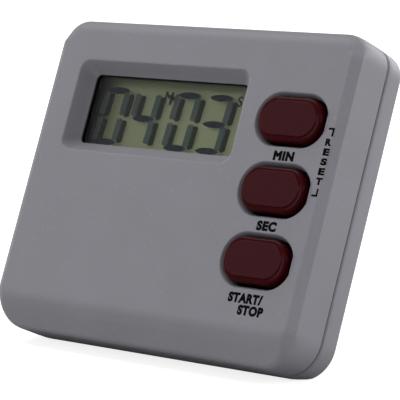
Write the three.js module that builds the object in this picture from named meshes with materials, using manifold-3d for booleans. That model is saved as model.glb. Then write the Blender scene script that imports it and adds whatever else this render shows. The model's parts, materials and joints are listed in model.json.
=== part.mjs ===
// Lab timer: a four-digit count-down timer that leans back on a fold-out stand.
// Millimetres. World frame: +Z up, +X to the right as seen from the front, the front towards -Y.
// Every piece is drawn in the timer's own frame: x to the right, y up the face, z out of the face,
// with z = 0 on the face and the middle of the face at x = y = 0.

import * as THREE from 'three';
import { mergeVertices } from 'three/addons/utils/BufferGeometryUtils.js';
import ManifoldModule from 'manifold-3d';

const wasm = await ManifoldModule();
wasm.setup();

// ---- driving dimensions -------------------------------------------------------------------------

const WIDTH = 69.6;
const HEIGHT = 60;
const DEPTH = 14.2;
const LEAN = THREE.MathUtils.degToRad(22.4); // how far the face leans back from upright
const WALL = 1.7;
const GAP = 0.3; // clearance between moving neighbours, and at the seam

const TOP_CORNER = 5.2; // outline radii seen from the front
const BOTTOM_CORNER = 7;

const SEAM = 8.2; // depth of the front casing
const TOP_ROUND = 3.2; // radius of the round top edge
const CHAMFER_WIDTH = 1.65; // side chamfers
const CHAMFER_DEPTH = 1.2;
const BAND_HEIGHT = 6.3; // sloping band along the bottom of the face
const BAND_DEPTH = 3.2;
const REAR_DRAFT = 0.4; // how far the rear casing tapers in
const REAR_ROUND = 1;
const FOOT_CUT = 0.75; // how much the table plane takes off the lower rear edge

const DISPLAY = { x: -7.85, y: 13, halfWidth: 18.1, halfHeight: 6.7, corner: 1 };
const WELL_DEPTH = 3;
const WELL_SLOPE = 2.35; // how much wider the well is at the face than at its foot

const BUTTON_X = 23.65;
const BUTTON_PITCH = 12.7;
const BUTTON_TOP_Y = 13.1;
const BUTTON = { halfWidth: 6.8, halfHeight: 4.05, corner: 3.9 };
const BUTTON_PLATEAU = 1.05; // how far the caps stand above the face
const BUTTON_TRAVEL = 0.6;
const GUIDE_DEPTH = 3.2; // depth of the guides the caps slide in

const BOARD = { left: -31.6, right: 31.6, top: 23, step: 1.5, legLeft: 13.6, bottom: -21.6 };
const BOARD_Z = -9; // front face of the circuit board
const BOARD_THICKNESS = 1;

const CELL = { x: -21.8, y: -12.6, radius: 5.8, height: 5.4 };
const DOOR_RADIUS = 8.5;
const DOOR_TURN = THREE.MathUtils.degToRad(45);

const SOUNDER = { x: 22.5, y: -8, radius: 9 };
const MAGNET = { x: 16, y: 19.5, radius: 5.5 };

const STAND_HALF_WIDTH = 11;
const STAND_LENGTH = 36; // from the pin to the foot
const STAND_THICKNESS = 1.9;
const BARREL_RADIUS = 1.25;
const PIN = { y: 9, z: 1.6 - DEPTH, radius: 0.62 };
const RUNNING_CLEARANCE = 0.08;

const CASE_SCREWS = [[-30.8, 26], [30.8, 26], [-29.4, -24.4], [29.4, -24.4]];
const BOARD_SCREWS = [[BUTTON_X, 21.8], [BUTTON_X, -20]];

const ROUND = 24; // segments of a full circle
const CORNER_STEPS = 6; // segments of a quarter circle in an outline

const REAR = -DEPTH;
const REAR_START = -SEAM - GAP; // front edge of the rear casing
const REAR_INSIDE = REAR + WALL;
const BOARD_REAR = BOARD_Z - BOARD_THICKNESS;
const TOUCH = 0.1; // clearance between pieces that rest on each other
const THROUGH = 1; // how far a cutting tool reaches past the face it cuts

// ---- geometry helpers ---------------------------------------------------------------------------

function solid(geometry) {
  const bare = geometry.clone();
  bare.deleteAttribute('normal');
  bare.deleteAttribute('uv');
  const merged = mergeVertices(bare, 1e-4);
  const vertProperties = new Float32Array(merged.attributes.position.array);
  const triVerts = new Uint32Array(merged.index.array);
  return new wasm.Manifold(new wasm.Mesh({ numProp: 3, vertProperties, triVerts }));
}

function geometryOf(manifold) {
  const mesh = manifold.getMesh();
  const geometry = new THREE.BufferGeometry();
  geometry.setAttribute('position', new THREE.BufferAttribute(mesh.vertProperties, 3));
  geometry.setIndex(new THREE.BufferAttribute(mesh.triVerts, 1));
  return geometry;
}

const join = (...pieces) => pieces.reduce((sum, piece) => sum.add(piece));
const cut = (body, ...tools) => tools.reduce((rest, tool) => rest.subtract(tool), body);

function slab(x0, x1, y0, y1, z0, z1) {
  const box = new THREE.BoxGeometry(x1 - x0, y1 - y0, z1 - z0);
  return solid(box.translate((x0 + x1) / 2, (y0 + y1) / 2, (z0 + z1) / 2));
}

// A round rod square to the face, from z0 to z1.
function rod(x, y, radius, z0, z1, segments = ROUND) {
  const cylinder = new THREE.CylinderGeometry(radius, radius, z1 - z0, segments);
  return solid(cylinder.rotateX(Math.PI / 2).translate(x, y, (z0 + z1) / 2));
}

// A round rod across the timer, from x0 to x1.
function crossRod(y, z, radius, x0, x1) {
  const cylinder = new THREE.CylinderGeometry(radius, radius, x1 - x0, ROUND);
  return solid(cylinder.rotateZ(Math.PI / 2).translate((x0 + x1) / 2, y, z));
}

// A profile of [y, z] points, pulled across the timer from x0 to x1.
function crossExtrusion(profile, x0, x1) {
  const shape = new THREE.Shape(profile.map(([y, z]) => new THREE.Vector2(y, z)));
  const geometry = new THREE.ExtrudeGeometry(shape, { depth: x1 - x0, bevelEnabled: false });
  const basis = new THREE.Matrix4().makeBasis(
    new THREE.Vector3(0, 1, 0), new THREE.Vector3(0, 0, 1), new THREE.Vector3(1, 0, 0));
  return solid(geometry.applyMatrix4(basis).translate(x0, 0, 0));
}

// A profile of [radius, z] points turned about an axis square to the face.
function turned(profile, x = 0, y = 0) {
  const points = profile.map(([radius, z]) => new THREE.Vector2(radius, z));
  const geometry = new THREE.LatheGeometry(points, ROUND);
  return solid(geometry.rotateX(Math.PI / 2).translate(x, y, 0));
}

// The corner points of a rounded rectangle, anticlockwise from the lower right corner.
// Each corner is a quarter ellipse with its own radii [across, up].
function outline({ left, right, bottom, top, lowerCorner, upperCorner }) {
  const corners = [
    [right, bottom, -1, 1, lowerCorner, -Math.PI / 2],
    [right, top, -1, -1, upperCorner, 0],
    [left, top, 1, -1, upperCorner, Math.PI / 2],
    [left, bottom, 1, 1, lowerCorner, Math.PI],
  ];
  const points = [];
  for (const [x, y, towardsX, towardsY, [across, up], start] of corners) {
    for (let step = 0; step <= CORNER_STEPS; step += 1) {
      const angle = start + (step / CORNER_STEPS) * (Math.PI / 2);
      points.push([
        x + towardsX * across + across * Math.cos(angle),
        y + towardsY * up + up * Math.sin(angle),
      ]);
    }
  }
  return points;
}

function roundedRectangle(x, y, halfWidth, halfHeight, corner) {
  return outline({
    left: x - halfWidth, right: x + halfWidth, bottom: y - halfHeight, top: y + halfHeight,
    lowerCorner: [corner, corner], upperCorner: [corner, corner],
  });
}

// A closed skin over a stack of equal-count outlines, given front to rear as { z, points }.
function loft(rings) {
  const count = rings[0].points.length;
  const positions = rings.flatMap(({ z, points }) => points.flatMap(([x, y]) => [x, y, z]));
  const index = [];
  for (let ring = 0; ring + 1 < rings.length; ring += 1) {
    for (let side = 0; side < count; side += 1) {
      const next = (side + 1) % count;
      const [a, b] = [ring * count + side, ring * count + next];
      const [c, d] = [a + count, b + count];
      index.push(a, c, b, b, c, d);
    }
  }
  const last = (rings.length - 1) * count;
  for (let corner = 1; corner + 1 < count; corner += 1) {
    index.push(0, corner, corner + 1);
    index.push(last, last + corner + 1, last + corner);
  }
  const geometry = new THREE.BufferGeometry();
  geometry.setAttribute('position', new THREE.Float32BufferAttribute(positions, 3));
  geometry.setIndex(index);
  return solid(geometry);
}

// A straight-sided block over one rounded rectangle.
function roundedBlock(x, y, halfWidth, halfHeight, corner, z0, z1) {
  const points = roundedRectangle(x, y, halfWidth, halfHeight, corner);
  return loft([{ z: z1, points }, { z: z0, points }]);
}

// ---- casings ------------------------------------------------------------------------------------

// Outline of the casing with its sides, top and bottom each moved in.
function casingOutline(side, top, bottom) {
  const across = Math.max(BOTTOM_CORNER - side, 0.5);
  const upper = Math.max(TOP_CORNER - side, 0.5);
  return outline({
    left: side - WIDTH / 2, right: WIDTH / 2 - side,
    bottom: bottom - HEIGHT / 2, top: HEIGHT / 2 - top,
    lowerCorner: [across, Math.max(BOTTOM_CORNER - bottom, 0.5)],
    upperCorner: [upper, Math.max(TOP_CORNER - top, 0.5)],
  });
}

// The front casing's skin, or with an inset the space inside its wall.
function frontBlock(inset, rearZ) {
  const topInset = (depth) => {
    const rise = Math.max(TOP_ROUND - depth, 0);
    return TOP_ROUND - Math.sqrt(TOP_ROUND ** 2 - rise ** 2);
  };
  const sideInset = (depth) => CHAMFER_WIDTH * Math.max(1 - depth / CHAMFER_DEPTH, 0);
  const depths = [CHAMFER_DEPTH];
  for (let angle = 0; angle <= 90; angle += 15) {
    depths.push(TOP_ROUND * (1 - Math.cos(THREE.MathUtils.degToRad(angle))));
  }
  depths.sort((a, b) => a - b);
  const rings = depths.map((depth) => {
    const side = inset + sideInset(depth);
    return { z: -inset - depth, points: casingOutline(side, inset + topInset(depth), side) };
  });
  rings.push({ z: rearZ, points: casingOutline(inset, inset, inset) });
  return loft(rings);
}

// The wedge in front of the sloping band, moved in by the wall thickness for the inside.
function bandWedge(inset) {
  const slope = new THREE.Vector2(BAND_HEIGHT, BAND_DEPTH).normalize();
  const normal = new THREE.Vector2(-slope.y, slope.x);
  const start = new THREE.Vector2(BAND_HEIGHT - HEIGHT / 2, 0).addScaledVector(normal, -inset);
  const reach = 20;
  const upper = start.clone().addScaledVector(slope, reach);
  const lower = start.clone().addScaledVector(slope, -reach);
  const outside = start.clone().addScaledVector(normal, reach);
  const profile = [upper, outside, lower].map((point) => [point.x, point.y]);
  return crossExtrusion(profile, -WIDTH, WIDTH);
}

function displayWell(extra, front, foot) {
  const { x, y, halfWidth, halfHeight, corner } = DISPLAY;
  const ring = (z, spread) => ({
    z,
    points: roundedRectangle(x, y, halfWidth + spread, halfHeight + spread, corner + spread),
  });
  const spreadAt = (z) => extra + WELL_SLOPE * (1 + z / WELL_DEPTH);
  return loft([ring(front, spreadAt(front)), ring(-WELL_DEPTH, extra), ring(foot, extra)]);
}

const buttonRows = [0, 1, 2].map((row) => BUTTON_TOP_Y - row * BUTTON_PITCH);
const GUIDE_WALL = 1;

// A button's outline at the height z, moved out by spread.
function buttonRing(y, z, spread) {
  const { halfWidth, halfHeight, corner } = BUTTON;
  const reach = [halfWidth + spread, halfHeight + spread, corner + spread];
  return { z, points: roundedRectangle(BUTTON_X, y, ...reach) };
}

// The opening for one button: a dished rim over a straight guide.
function buttonOpening(y) {
  const rim = 0.6;
  return loft([
    buttonRing(y, THROUGH, GAP + rim), buttonRing(y, 0, GAP + rim),
    buttonRing(y, -0.25 * rim, GAP + 0.55 * rim), buttonRing(y, -rim, GAP),
    buttonRing(y, -GUIDE_DEPTH - THROUGH, GAP),
  ]);
}

function buttonGuide(y) {
  const spread = GAP + GUIDE_WALL;
  return loft([buttonRing(y, -WALL / 2, spread), buttonRing(y, -GUIDE_DEPTH, spread)]);
}

const FRONT_BOSS = { radius: 2.3, hole: 1.1, holeTop: -4.2 };
const BOARD_POST = { radius: 1.8, hole: 0.85, holeTop: -5, end: BOARD_Z + 1.5 * TOUCH };
const WELL_WALL = 1.3;
const WELL_HEM = 0.4; // how far the well's wall reaches behind its foot

function frontCasing() {
  const skin = cut(frontBlock(0, -SEAM), bandWedge(0));
  const inside = cut(frontBlock(WALL, -SEAM - THROUGH), bandWedge(WALL));
  const bosses = CASE_SCREWS.map(([x, y]) => rod(x, y, FRONT_BOSS.radius, -SEAM, -WALL / 2)
    .intersect(skin));
  const posts = BOARD_SCREWS.map(([x, y]) => (
    rod(x, y, BOARD_POST.radius, BOARD_POST.end, -WALL / 2)));
  const body = join(
    cut(skin, inside), displayWell(WELL_WALL, -WALL / 2, -WELL_DEPTH - WELL_HEM),
    ...buttonRows.map(buttonGuide), ...bosses, ...posts);
  return cut(
    body, displayWell(0, THROUGH / 2, -WELL_DEPTH - THROUGH), ...buttonRows.map(buttonOpening),
    ...CASE_SCREWS.map(([x, y]) => (
      rod(x, y, FRONT_BOSS.hole, -SEAM - THROUGH, FRONT_BOSS.holeTop))),
    ...BOARD_SCREWS.map(([x, y]) => (
      rod(x, y, BOARD_POST.hole, BOARD_POST.end - THROUGH, BOARD_POST.holeTop))));
}

const LIP = { inset: WALL + GAP, thickness: 0.9, height: 1.5, root: 0.45 };
const REAR_BOSS = { radius: 2.6, hole: 1.15 };
const SCREW_RECESS = 2;
const STAND_RECESS = {
  halfWidth: STAND_HALF_WIDTH + GAP, bottom: PIN.y - STAND_LENGTH - 0.4, top: PIN.y + 2.2,
  floor: PIN.z + STAND_THICKNESS / 2 + GAP, wall: 1, cheek: 1.6,
};

function rearBlock(inset, frontZ, rearZ) {
  const ring = (z, move) => ({ z, points: casingOutline(inset + move, inset + move, inset + move) });
  const straight = [ring(frontZ, 0)];
  if (inset > 0) return loft([...straight, ring(rearZ, REAR_DRAFT)]);
  const rings = [ring(frontZ, 0.35), ring(frontZ - 0.4, 0)];
  for (let angle = 0; angle <= 90; angle += 30) {
    const turn = THREE.MathUtils.degToRad(angle);
    const move = REAR_DRAFT + REAR_ROUND * (1 - Math.cos(turn));
    rings.push(ring(rearZ + REAR_ROUND * (1 - Math.sin(turn)), move));
  }
  return loft(rings);
}

// A ring that follows the casing's outline between two insets.
function casingRing(outerInset, innerInset, z0, z1) {
  const points = (inset) => casingOutline(inset, inset, inset);
  const outside = points(outerInset);
  const inside = points(innerInset);
  return cut(
    loft([{ z: z1, points: outside }, { z: z0, points: outside }]),
    loft([{ z: z1 + 1, points: inside }, { z: z0 - 1, points: inside }]));
}

// The lip on the rear casing that reaches into the front one, standing on a ledge inside the wall.
function rearLip() {
  const inner = LIP.inset + LIP.thickness;
  const root = REAR_START - LIP.root;
  return cut(
    join(
      casingRing(LIP.inset, inner, root, REAR_START + LIP.height),
      casingRing(WALL - 0.3, inner, root, REAR_START)),
    ...CASE_SCREWS.map(([x, y]) => (
      rod(x, y, FRONT_BOSS.radius + GAP, REAR_START, REAR_START + LIP.height + 1))));
}

// The plane of the table in the timer's own frame, as a thick slab below the lower rear edge.
const TABLE_HEIGHT = (REAR_DRAFT - HEIGHT / 2) * Math.cos(LEAN) - DEPTH * Math.sin(LEAN) + FOOT_CUT;

function tableSlab() {
  const thickness = 30;
  const table = new THREE.BoxGeometry(2 * WIDTH, 4 * HEIGHT, thickness);
  table.translate(0, 0, TABLE_HEIGHT - thickness / 2);
  return solid(table.rotateX(LEAN - Math.PI / 2));
}

const CUP = {
  inner: CELL.radius + 0.25, outer: 7.3, mouth: DOOR_RADIUS - 0.1, mouthOuter: 9.6,
  floor: -4.9, front: -4.2, step: -11.2, flange: -9.8,
};

// The cup that holds the button cell, open to the rear.
function cellCup() {
  const wall = REAR_INSIDE - 0.3;
  return turned([
    [2, CUP.front], [2, CUP.floor], [CUP.inner, CUP.floor], [CUP.inner, CUP.step],
    [CUP.mouth, CUP.step], [CUP.mouth, wall], [CUP.mouthOuter, wall], [CUP.mouthOuter, CUP.flange],
    [CUP.outer, CUP.flange], [CUP.outer, CUP.front], [2, CUP.front],
  ], CELL.x, CELL.y);
}

const DOOR = {
  seat: REAR + 0.95, hole: 7.15, boss: 6.9, lugReach: 8, lugFront: -11.5, lugRear: REAR_INSIDE + 0.15,
  lugAngle: 24, notchAngle: 34, bossFront: -11.45, faceRear: REAR + 0.05, faceFront: REAR + 0.8,
};

// Two opposite sectors about the door's axis, centred on the given angle.
function lugPair(radius, spanDegrees, middle, z0, z1) {
  const half = THREE.MathUtils.degToRad(spanDegrees / 2);
  const sector = (angle) => {
    const shape = new THREE.Shape();
    shape.moveTo(0, 0);
    shape.lineTo(radius * Math.cos(angle - half), radius * Math.sin(angle - half));
    shape.absarc(0, 0, radius, angle - half, angle + half, false);
    shape.closePath();
    const settings = { depth: z1 - z0, bevelEnabled: false, curveSegments: 6 };
    return solid(new THREE.ExtrudeGeometry(shape, settings).translate(CELL.x, CELL.y, z0));
  };
  return [sector(middle), sector(middle + Math.PI)];
}

function rearCasing() {
  const shell = cut(
    rearBlock(0, REAR_START, REAR), rearBlock(WALL, REAR_START + 1, REAR_INSIDE));
  const bosses = CASE_SCREWS.map(([x, y]) => rod(x, y, REAR_BOSS.radius, REAR + WALL / 2, REAR_START));
  const magnetSeats = [-1, 1].map((side) => rod(
    side * MAGNET.x, MAGNET.y, MAGNET.radius + 1.5, REAR + WALL / 2, REAR_INSIDE + 1));
  const { halfWidth, bottom, top, floor, wall, cheek } = STAND_RECESS;
  const standBox = slab(-halfWidth - cheek, halfWidth + cheek, bottom - wall, top + wall,
    REAR + WALL / 2, floor + wall);
  const sounderSeat = cut(
    rod(SOUNDER.x, SOUNDER.y, SOUNDER.radius - 0.2, REAR + WALL / 2, REAR_INSIDE + 0.8),
    rod(SOUNDER.x, SOUNDER.y, SOUNDER.radius - 1.4, REAR_INSIDE, REAR_INSIDE + 2));
  const boardRest = rod(-30.5, 8, 1.3, REAR + WALL / 2, BOARD_REAR - 0.15);
  const filled = join(shell, rearLip(), cellCup(), sounderSeat, boardRest, standBox, ...magnetSeats,
    ...bosses.map((boss) => boss.intersect(rearBlock(0, REAR_START, REAR))));
  return cut(filled, tableSlab(), ...rearOpenings(), ...cellOpenings());
}

// Everything cut into the rear casing from behind.
function rearOpenings() {
  const { halfWidth, bottom, top, floor, cheek } = STAND_RECESS;
  const pinReach = halfWidth + cheek + GAP;
  const gripY = PIN.y - STAND_LENGTH + 6; // the finger notch beside the stand's foot
  const soundHoles = [[0, 0], [2.6, 0], [-2.6, 0], [0, 2.6], [0, -2.6]];
  return [
    slab(-halfWidth, halfWidth, bottom, top, REAR - THROUGH, floor),
    crossRod(PIN.y, PIN.z, BARREL_RADIUS + GAP, -halfWidth, halfWidth),
    crossRod(PIN.y, PIN.z, PIN.radius + RUNNING_CLEARANCE, -pinReach, pinReach),
    rod(halfWidth, gripY, 4, REAR - THROUGH, REAR + 0.7 * WALL),
    ...[-1, 1].map((side) => rod(
      side * MAGNET.x, MAGNET.y, MAGNET.radius + 2 * TOUCH, REAR - THROUGH, REAR_INSIDE - TOUCH)),
    ...soundHoles.map(([x, y]) => rod(
      SOUNDER.x + x, SOUNDER.y + y, 0.6, REAR - THROUGH, REAR_INSIDE + TOUCH, 12)),
    ...CASE_SCREWS.map(([x, y]) => rod(x, y, SCREW_RECESS, REAR - THROUGH, REAR_INSIDE)),
    ...CASE_SCREWS.map(([x, y]) => rod(x, y, REAR_BOSS.hole, REAR, REAR_START + THROUGH)),
  ];
}

// The door's stepped hole, its bayonet notches, and the slots of the two contacts.
function cellOpenings() {
  const { x, y } = CELL;
  return [
    rod(x, y, DOOR_RADIUS + GAP, REAR - THROUGH, DOOR.seat),
    rod(x, y, DOOR.hole, REAR - THROUGH, REAR_INSIDE + TOUCH),
    rod(x, y, CUP.mouth, REAR_INSIDE, CUP.step),
    ...lugPair(DOOR.lugReach + GAP, DOOR.notchAngle, -DOOR_TURN, REAR, REAR_INSIDE + TOUCH),
    slab(x - 1.4, x + 1.4, y, y + 9, -5.6, CUP.floor),
    slab(x + 5.75, x + 6.6, y - 1.9, y + 5.1, -10.8, -6.1),
  ];
}

// ---- display ------------------------------------------------------------------------------------

const WINDOW = { margin: 1.6, front: -3.6, thickness: 0.7 };
const LCD = { marginX: 2.1, marginY: 3.1, front: -5.25, glass: 1.05 };
const FRAME = { wall: 1.2, front: -3.55, web: -4.45, webRear: -5.1, rear: -8.6 };
const CONNECTOR = { width: 2, inset: 0.2 };

function displayPane(marginX, marginY, z0, z1) {
  const { x, y, halfWidth, halfHeight } = DISPLAY;
  const [reachX, reachY] = [halfWidth + marginX, halfHeight + marginY];
  return slab(x - reachX, x + reachX, y - reachY, y + reachY, z0, z1);
}

function displayFrame() {
  const { x, y, halfWidth, halfHeight, corner } = DISPLAY;
  const spread = 0.1;
  const outer = displayPane(
    LCD.marginX + FRAME.wall, LCD.marginY + FRAME.wall, FRAME.rear, FRAME.front);
  const opening = roundedBlock(
    x, y, halfWidth + spread, halfHeight + spread, corner + spread, FRAME.rear - 1, 0);
  const windowSeat = WINDOW.margin + 0.15;
  const glassSeat = 0.2;
  return cut(
    outer, opening, displayPane(windowSeat, windowSeat, FRAME.web, 0),
    displayPane(LCD.marginX + glassSeat, LCD.marginY + glassSeat, FRAME.rear - 1, FRAME.webRear));
}

const LCD_REAR = LCD.front - LCD.glass;
const LEDGE = 2.5; // how far the front glass reaches past the rear glass, for the connectors

function connectorStrip(side) {
  const { x, y, halfWidth, halfHeight } = DISPLAY;
  const outerEdge = y + side * (halfHeight + LCD.marginY - CONNECTOR.inset);
  const innerEdge = outerEdge - side * CONNECTOR.width;
  return slab(x - halfWidth - 1, x + halfWidth + 1, Math.min(outerEdge, innerEdge),
    Math.max(outerEdge, innerEdge), BOARD_Z + 0.1, LCD_REAR - 0.1);
}

// ---- buttons ------------------------------------------------------------------------------------

// A hollow cap: a flat plateau with a sloping shoulder, a flange that keeps it in, and a stem.
function buttonCap(y) {
  const [wall, shoulder, edge] = [1.2, 1.05, 0.2];
  const [flange, flangeThickness, stemRadius] = [0.8, 0.7, 1.8];
  const flangeTop = -GUIDE_DEPTH - GAP;
  const flangeRear = flangeTop - flangeThickness;
  const outside = loft([
    buttonRing(y, BUTTON_PLATEAU, -shoulder - edge),
    buttonRing(y, BUTTON_PLATEAU - edge, -shoulder),
    buttonRing(y, edge, -edge / 2), buttonRing(y, 0, 0),
    buttonRing(y, flangeTop, 0), buttonRing(y, flangeTop, flange), buttonRing(y, flangeRear, flange),
  ]);
  const hollow = loft([buttonRing(y, -wall, -wall), buttonRing(y, flangeRear - THROUGH, -wall)]);
  const stem = rod(BUTTON_X, y, stemRadius, DOME_TOP + TOUCH, -wall / 2);
  return join(cut(outside, hollow), stem);
}

const DOME_TOP = -6.9;
const DOME_CROWN = 1; // thickness of the dome's crown
const PILL = { radius: 1.4, thickness: 0.35, rear: BOARD_Z + BUTTON_TRAVEL + TOUCH / 2 };

// Rubber dome: a foot on the board, a thin skirt and a thick crown.
function rubberDome(y) {
  const [crown, footRadius, footHeight] = [2.2, 4.3, 0.5];
  const foot = BOARD_Z + TOUCH;
  const crownRear = DOME_TOP - DOME_CROWN;
  return turned([
    [0, crownRear], [crown - 0.4, crownRear], [footRadius - 1.3, foot], [footRadius, foot],
    [footRadius, foot + footHeight], [footRadius - 0.8, foot + footHeight],
    [crown, DOME_TOP - DOME_CROWN / 2], [crown, DOME_TOP], [0, DOME_TOP],
  ], BUTTON_X, y);
}

// ---- circuit board and its parts ----------------------------------------------------------------

function circuitBoard() {
  const { left, right, top, step, legLeft, bottom } = BOARD;
  const corners = [
    [left, top], [left, step], [legLeft, step], [legLeft, bottom], [right, bottom], [right, top],
  ];
  const shape = new THREE.Shape(corners.map(([x, y]) => new THREE.Vector2(x, y)));
  for (const [x, y] of BOARD_SCREWS) {
    const hole = new THREE.Path();
    hole.absarc(x, y, 0.95, 0, 2 * Math.PI, true);
    shape.holes.push(hole);
  }
  const settings = { depth: BOARD_THICKNESS, bevelEnabled: false, curveSegments: 12 };
  return solid(new THREE.ExtrudeGeometry(shape, settings).translate(0, 0, BOARD_REAR));
}

// The resin drop over the controller chip, on the rear of the board.
function resinDrop() {
  const base = BOARD_REAR - 0.1;
  const [radius, height, steps] = [4.2, 1.1, 5];
  const profile = [[0, base]];
  for (let step = 0; step <= steps; step += 1) {
    const angle = (step / steps) * (Math.PI / 2);
    profile.push([radius * Math.cos(angle), base - height * Math.sin(angle)]);
  }
  profile[profile.length - 1][0] = 0;
  return turned(profile.reverse(), 0, 18);
}

// A flat strip bent along [y, z] points, centred on them.
function bentStrip(path, thickness, x0, x1) {
  const points = path.map(([y, z]) => new THREE.Vector2(y, z));
  const sideOf = (from, to) => {
    const along = to.clone().sub(from).normalize();
    return new THREE.Vector2(-along.y, along.x);
  };
  const offset = (index, side) => {
    const before = sideOf(points[Math.max(index - 1, 0)], points[Math.max(index, 1)]);
    const last = points.length - 1;
    const after = sideOf(points[Math.min(index, last - 1)], points[Math.min(index + 1, last)]);
    const mitre = before.clone().add(after).normalize();
    const reach = (side * thickness) / 2 / mitre.dot(before);
    return points[index].clone().addScaledVector(mitre, reach);
  };
  const upper = points.map((_, index) => offset(index, 1));
  const lower = points.map((_, index) => offset(index, -1)).reverse();
  const ring = [...lower.reverse(), ...upper.reverse()];
  return crossExtrusion(ring.map((point) => [point.x, point.y]), x0, x1);
}

function negativeContact() {
  const rest = CUP.floor - 0.3;
  const boardFace = BOARD_REAR - 0.25;
  const riser = BOARD.step - 1.2;
  const path = [
    [CELL.y - 3, rest], [CELL.y, rest - 0.35], [CELL.y + 3, rest], [riser, rest],
    [riser, boardFace], [riser + 3.7, boardFace],
  ];
  return bentStrip(path, 0.25, CELL.x - 1.2, CELL.x + 1.2);
}

function positiveContact() {
  const plate = CELL.x + 6.05;
  const finger = { low: CELL.y - 1.5, high: CELL.y + 1.5 };
  const tab = BOARD_REAR - 0.15;
  const profile = [
    [finger.low, -10.4], [finger.high, -10.4], [finger.high, -9.2], [0.2, -9.2], [0.2, tab - 0.75],
    [4, tab - 0.75], [4, tab], [1.2, tab], [1.2, -7.2], [finger.high, -7.2],
    [finger.high, -6.5], [finger.low, -6.5],
  ];
  return crossExtrusion(profile, plate, plate + 0.25);
}

function soundWire(side) {
  const disc = REAR_INSIDE + 1.4;
  const start = new THREE.Vector3(SOUNDER.x + side * 4, SOUNDER.y + 7, disc + 0.5);
  const end = new THREE.Vector3(SOUNDER.x + side * 4, 6, BOARD_REAR - 0.45);
  const middle = start.clone().lerp(end, 0.5).add(new THREE.Vector3(side, 0, -0.25));
  const path = new THREE.QuadraticBezierCurve3(start, middle, end);
  const section = new THREE.Shape();
  section.absarc(0, 0, 0.25, 0, 2 * Math.PI, false);
  const settings = { steps: 8, curveSegments: 5, extrudePath: path, bevelEnabled: false };
  return solid(new THREE.ExtrudeGeometry(section, settings));
}

// ---- cell, door, magnets and screws -------------------------------------------------------------

function buttonCell() {
  const rear = CUP.step;
  const front = rear + CELL.height;
  return turned([
    [0, rear], [CELL.radius - 0.3, rear], [CELL.radius, rear + 0.3], [CELL.radius, front - 0.45],
    [4.7, front - 0.35], [4.4, front], [0, front],
  ], CELL.x, CELL.y);
}

function cellDoor() {
  const { x, y } = CELL;
  return cut(
    join(
      rod(x, y, DOOR_RADIUS, DOOR.faceRear, DOOR.faceFront),
      rod(x, y, DOOR.boss, DOOR.faceFront - 0.1, DOOR.bossFront),
      ...lugPair(DOOR.lugReach, DOOR.lugAngle, 0, DOOR.lugRear, DOOR.lugFront)),
    slab(x - 5.5, x + 5.5, y - 0.75, y + 0.75, REAR - 1, DOOR.faceRear + 0.55));
}

// A cross-head screw driven from behind: the head's rear face at headZ, the tip at tipZ.
function screw(x, y, headRadius, headZ, headHeight, shankRadius, tipZ) {
  const recess = 0.35 * headHeight;
  const [half, reach] = [0.18 * headRadius, 0.6 * headRadius];
  return cut(
    join(
      rod(x, y, headRadius, headZ, headZ + headHeight, 20),
      rod(x, y, shankRadius, headZ + headHeight - 0.1, tipZ, 12)),
    slab(x - reach, x + reach, y - half, y + half, headZ - 1, headZ + recess),
    slab(x - half, x + half, y - reach, y + reach, headZ - 1, headZ + recess));
}

// ---- stand --------------------------------------------------------------------------------------

const pinHeight = PIN.y * Math.cos(LEAN) + PIN.z * Math.sin(LEAN) - TABLE_HEIGHT;
const SPLAY = Math.acos(pinHeight / STAND_LENGTH); // how far the open stand is from upright
const STAND_ANGLE = LEAN + SPLAY; // how far the stand opens from the back

// The stand folded flat: a barrel, a plate that ends in the foot, and a heel that stops it open.
function standFlap() {
  const half = STAND_THICKNESS / 2;
  const [inner, outer] = [PIN.z + half, PIN.z - half];
  const foot = PIN.y - STAND_LENGTH;
  const bevel = half * Math.tan(SPLAY);
  const plate = crossExtrusion(
    [[PIN.y, inner], [foot + bevel, inner], [foot - bevel, outer], [PIN.y, outer]],
    -STAND_HALF_WIDTH, STAND_HALF_WIDTH);
  const heelTop = PIN.y + 1.75;
  const heel = crossExtrusion(
    [[PIN.y, PIN.z], [PIN.y, outer], [heelTop, outer], [heelTop, PIN.z]],
    -STAND_HALF_WIDTH, STAND_HALF_WIDTH);
  const barrel = crossRod(PIN.y, PIN.z, BARREL_RADIUS, -STAND_HALF_WIDTH, STAND_HALF_WIDTH);
  const panel = roundedBlock(0, PIN.y - STAND_LENGTH / 2, 7.5, 11, 2, outer - 1, outer + 0.5);
  const grips = [0, 1, 2].map((rib) => slab(
    -5, 5, foot + 2 + rib * 1.3, foot + 2.6 + rib * 1.3, outer - 1, outer + 0.3));
  const bore = crossRod(
    PIN.y, PIN.z, PIN.radius + RUNNING_CLEARANCE, -STAND_HALF_WIDTH - 1, STAND_HALF_WIDTH + 1);
  return cut(join(plate, heel, barrel), panel, bore, ...grips);
}

function openStand() {
  const pivot = new THREE.Group();
  pivot.position.set(0, PIN.y, PIN.z);
  pivot.rotation.x = STAND_ANGLE;
  const mesh = piece('stand', standFlap(), 0x74737a, 0.6);
  mesh.position.set(0, -PIN.y, -PIN.z);
  pivot.add(mesh);
  return pivot;
}

// ---- the assembly -------------------------------------------------------------------------------

function piece(name, manifold, color, roughness, metalness = 0) {
  const material = new THREE.MeshStandardMaterial({ color, roughness, metalness });
  const mesh = new THREE.Mesh(geometryOf(manifold), material);
  mesh.name = name;
  return mesh;
}

const CASE_GREY = 0x84838a;
const BURGUNDY = 0x4a1f24;
const BLACK = 0x17171a;
const GLASS = 0xaab48a;
const STEEL = 0xb9bbbf;
const BRASS = 0xb8954a;

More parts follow.
